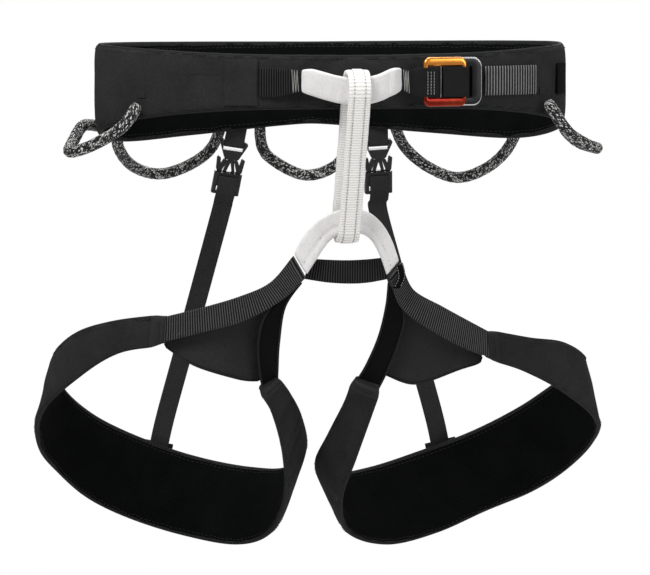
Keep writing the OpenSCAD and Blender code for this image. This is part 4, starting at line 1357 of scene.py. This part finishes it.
def rear_strap(s):
    """The webbing tab at the belt, the elastic strap and the patch at its lower end."""
    sg = SIDE[s]
    xa, _, dn = rear_frame(s)[1:]
    h = REAR_WEB / 2
    # the webbing tab: out of the belt, round the male half's bar and back up
    path = [(-1.5, -7), (-1.5, -3), (-1.7, 3), (-1.85, 7), (-2.0, BAR_DROP), (-1.6, BAR_DROP + 1.9),
            (0, BAR_DROP + 2.3), (1.6, BAR_DROP + 1.9),
            (2.0, BAR_DROP), (1.85, 7), (1.7, 3), (1.5, -3), (1.5, -7)]
    rails = [np.concatenate([rear_at(s, h, y, d), rear_at(s, -h, y, d)]) for y, d in path]
    tb = strap("rear_strap_tab_webbing_" + s, Strip(rails, 1, 0.6, steps=6), -0.5, 0.5, across=7)
    paint(tb, ELASTIC)
    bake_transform(tb)
    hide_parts("rear_strap_tab_" + s)
    # the elastic strap: over the female half's front, then down to the leg loop
    start = rear_at(s, 0, 0, 58)
    rows = [(rear_at(s, 0, -4.0, 31.5), xa * h), (rear_at(s, 0, -4.3, 36), xa * h),
            (rear_at(s, 0, -4.2, 43), xa * h),
            (rear_at(s, 0, -2.2, 48.5), xa * h), (start, xa * h)]
    low = np.array([math.cos(math.radians(12)), 0, sg * math.sin(math.radians(12))]) * h
    for t in (0.3, 0.6, 0.9):
        rows.append((start * (1 - t) + ANCHOR[s] * t, low))
    rows.append((ANCHOR[s] + np.array([sg * 2, 1.5, -16]), low))
    st = Strip([np.concatenate([c + a, c - a]) for c, a in rows], 1, 1.2, steps=12)
    es = strap("rear_elastic_strap_" + s, st, -0.55, 0.55, across=9, r=0.5)
    place(es, "rear_strap_lower_" + s, ELASTIC, ["rear_strap_" + s])
    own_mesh(es)
    # the patch that holds the strap's lower end
    a12 = math.radians(12)
    pxa = np.array([math.cos(a12), 0, sg * math.sin(a12)])
    pdn = np.array([sg * math.sin(a12), 0, -math.cos(a12)])
    base = ANCHOR[s] + np.array([0, 2.6, 0])
    rails = [np.concatenate([base + pxa * 11 + pdn * d, base - pxa * 11 + pdn * d])
             for d in (-3.6, 3, 10, 17.6)]
    ps = Strip(rails, 1, 1.2, steps=6)
    if ps.normal[0][1] < 0:
        ps.normal = -ps.normal
    patch = strap("leg_strap_patch_fabric_" + s, ps, 0.1, 0.95, across=8, r=0.35)
    place(patch, "leg_loop_" + s, SHELL, ["leg_strap_patch_" + s])
    parts = []
    corners = [base + pxa * x + pdn * d + np.array([0, 1.0, 0]) for x,
               d in ((-9.5, -2), (9.5, -2), (9.5, 16), (-9.5, 16), (-9.5, -2), (9.5, 16))]
    for c0, c1 in zip(corners[:-1], corners[1:]):
        parts.append(stitches("pp", np.linspace(c0, c1, 12), np.array([0, 1.0, 0]), 1.8, 0.8, 0.2))
    place(join("leg_strap_patch_stitches_" + s, parts), "leg_loop_" + s, THREAD_DARK)


for s in ("right", "left"):
    rear_strap(s)

# side-release buckles keep their CAD shapes, with moulded edges
for name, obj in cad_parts.items():
    if name.startswith("release_"):
        paint(obj, PLASTIC)
        bev = obj.modifiers.new("Bevel", "BEVEL")
        bev.width, bev.segments, bev.limit_method, bev.angle_limit = 0.0004, 3, "ANGLE", math.radians(40)

# ------------------------------------------------------------------ light, floor
world = bpy.data.worlds.new("studio")
bpy.context.scene.world = world
world.use_nodes = True
nt = world.node_tree
bg = nt.nodes["Background"]
bg.inputs[0].default_value = (1, 1, 1, 1)
bg.inputs[1].default_value = 0.42
white_bg = nt.nodes.new("ShaderNodeBackground")
white_bg.inputs[1].default_value = 1.0
white_bg.inputs[0].default_value = (1, 1, 1, 1)
lp = nt.nodes.new("ShaderNodeLightPath")
mx = nt.nodes.new("ShaderNodeMixShader")
nt.links.new(lp.outputs["Is Camera Ray"], mx.inputs[0])
nt.links.new(bg.outputs[0], mx.inputs[1])
nt.links.new(white_bg.outputs[0], mx.inputs[2])
nt.links.new(mx.outputs[0], nt.nodes["World Output"].inputs[0])


def area_light(name, at, size, power):
    d = bpy.data.lights.new(name, "AREA")
    d.shape, d.size, d.energy = "DISK", size, power
    o = bpy.data.objects.new(name, d)
    bpy.context.scene.collection.objects.link(o)
    o.location = at
    o.rotation_euler = (Vector((0, 0, -0.13)) - Vector(at)).to_track_quat("-Z", "Y").to_euler()


area_light("key", (-1.1, -1.3, 1.6), 0.9, 44)
area_light("fill", (1.7, -1.3, 0.5), 1.2, 14)
area_light("top", (0.1, 0.3, 1.8), 1.2, 22)
area_light("rim", (0.6, 1.8, 0.8), 1.2, 18)

floor_mesh = bpy.data.meshes.new("floor")
floor_mesh.from_pydata([(-40, -40, -1.2), (40, -40, -1.2), (40, 3, -1.2), (-40, 3, -1.2)], [], [(0, 1, 2, 3)])
floor = bpy.data.objects.new("floor", floor_mesh)
bpy.context.scene.collection.objects.link(floor)
fm = Nodes("floor_paper")
floor.data.materials.append(fm.finish(fm.mix(fm.noise(3, 2), (0.86, 0.86, 0.86), (0.92, 0.92, 0.92)), 0.9))
bpy.context.scene.view_settings.view_transform = "Standard"
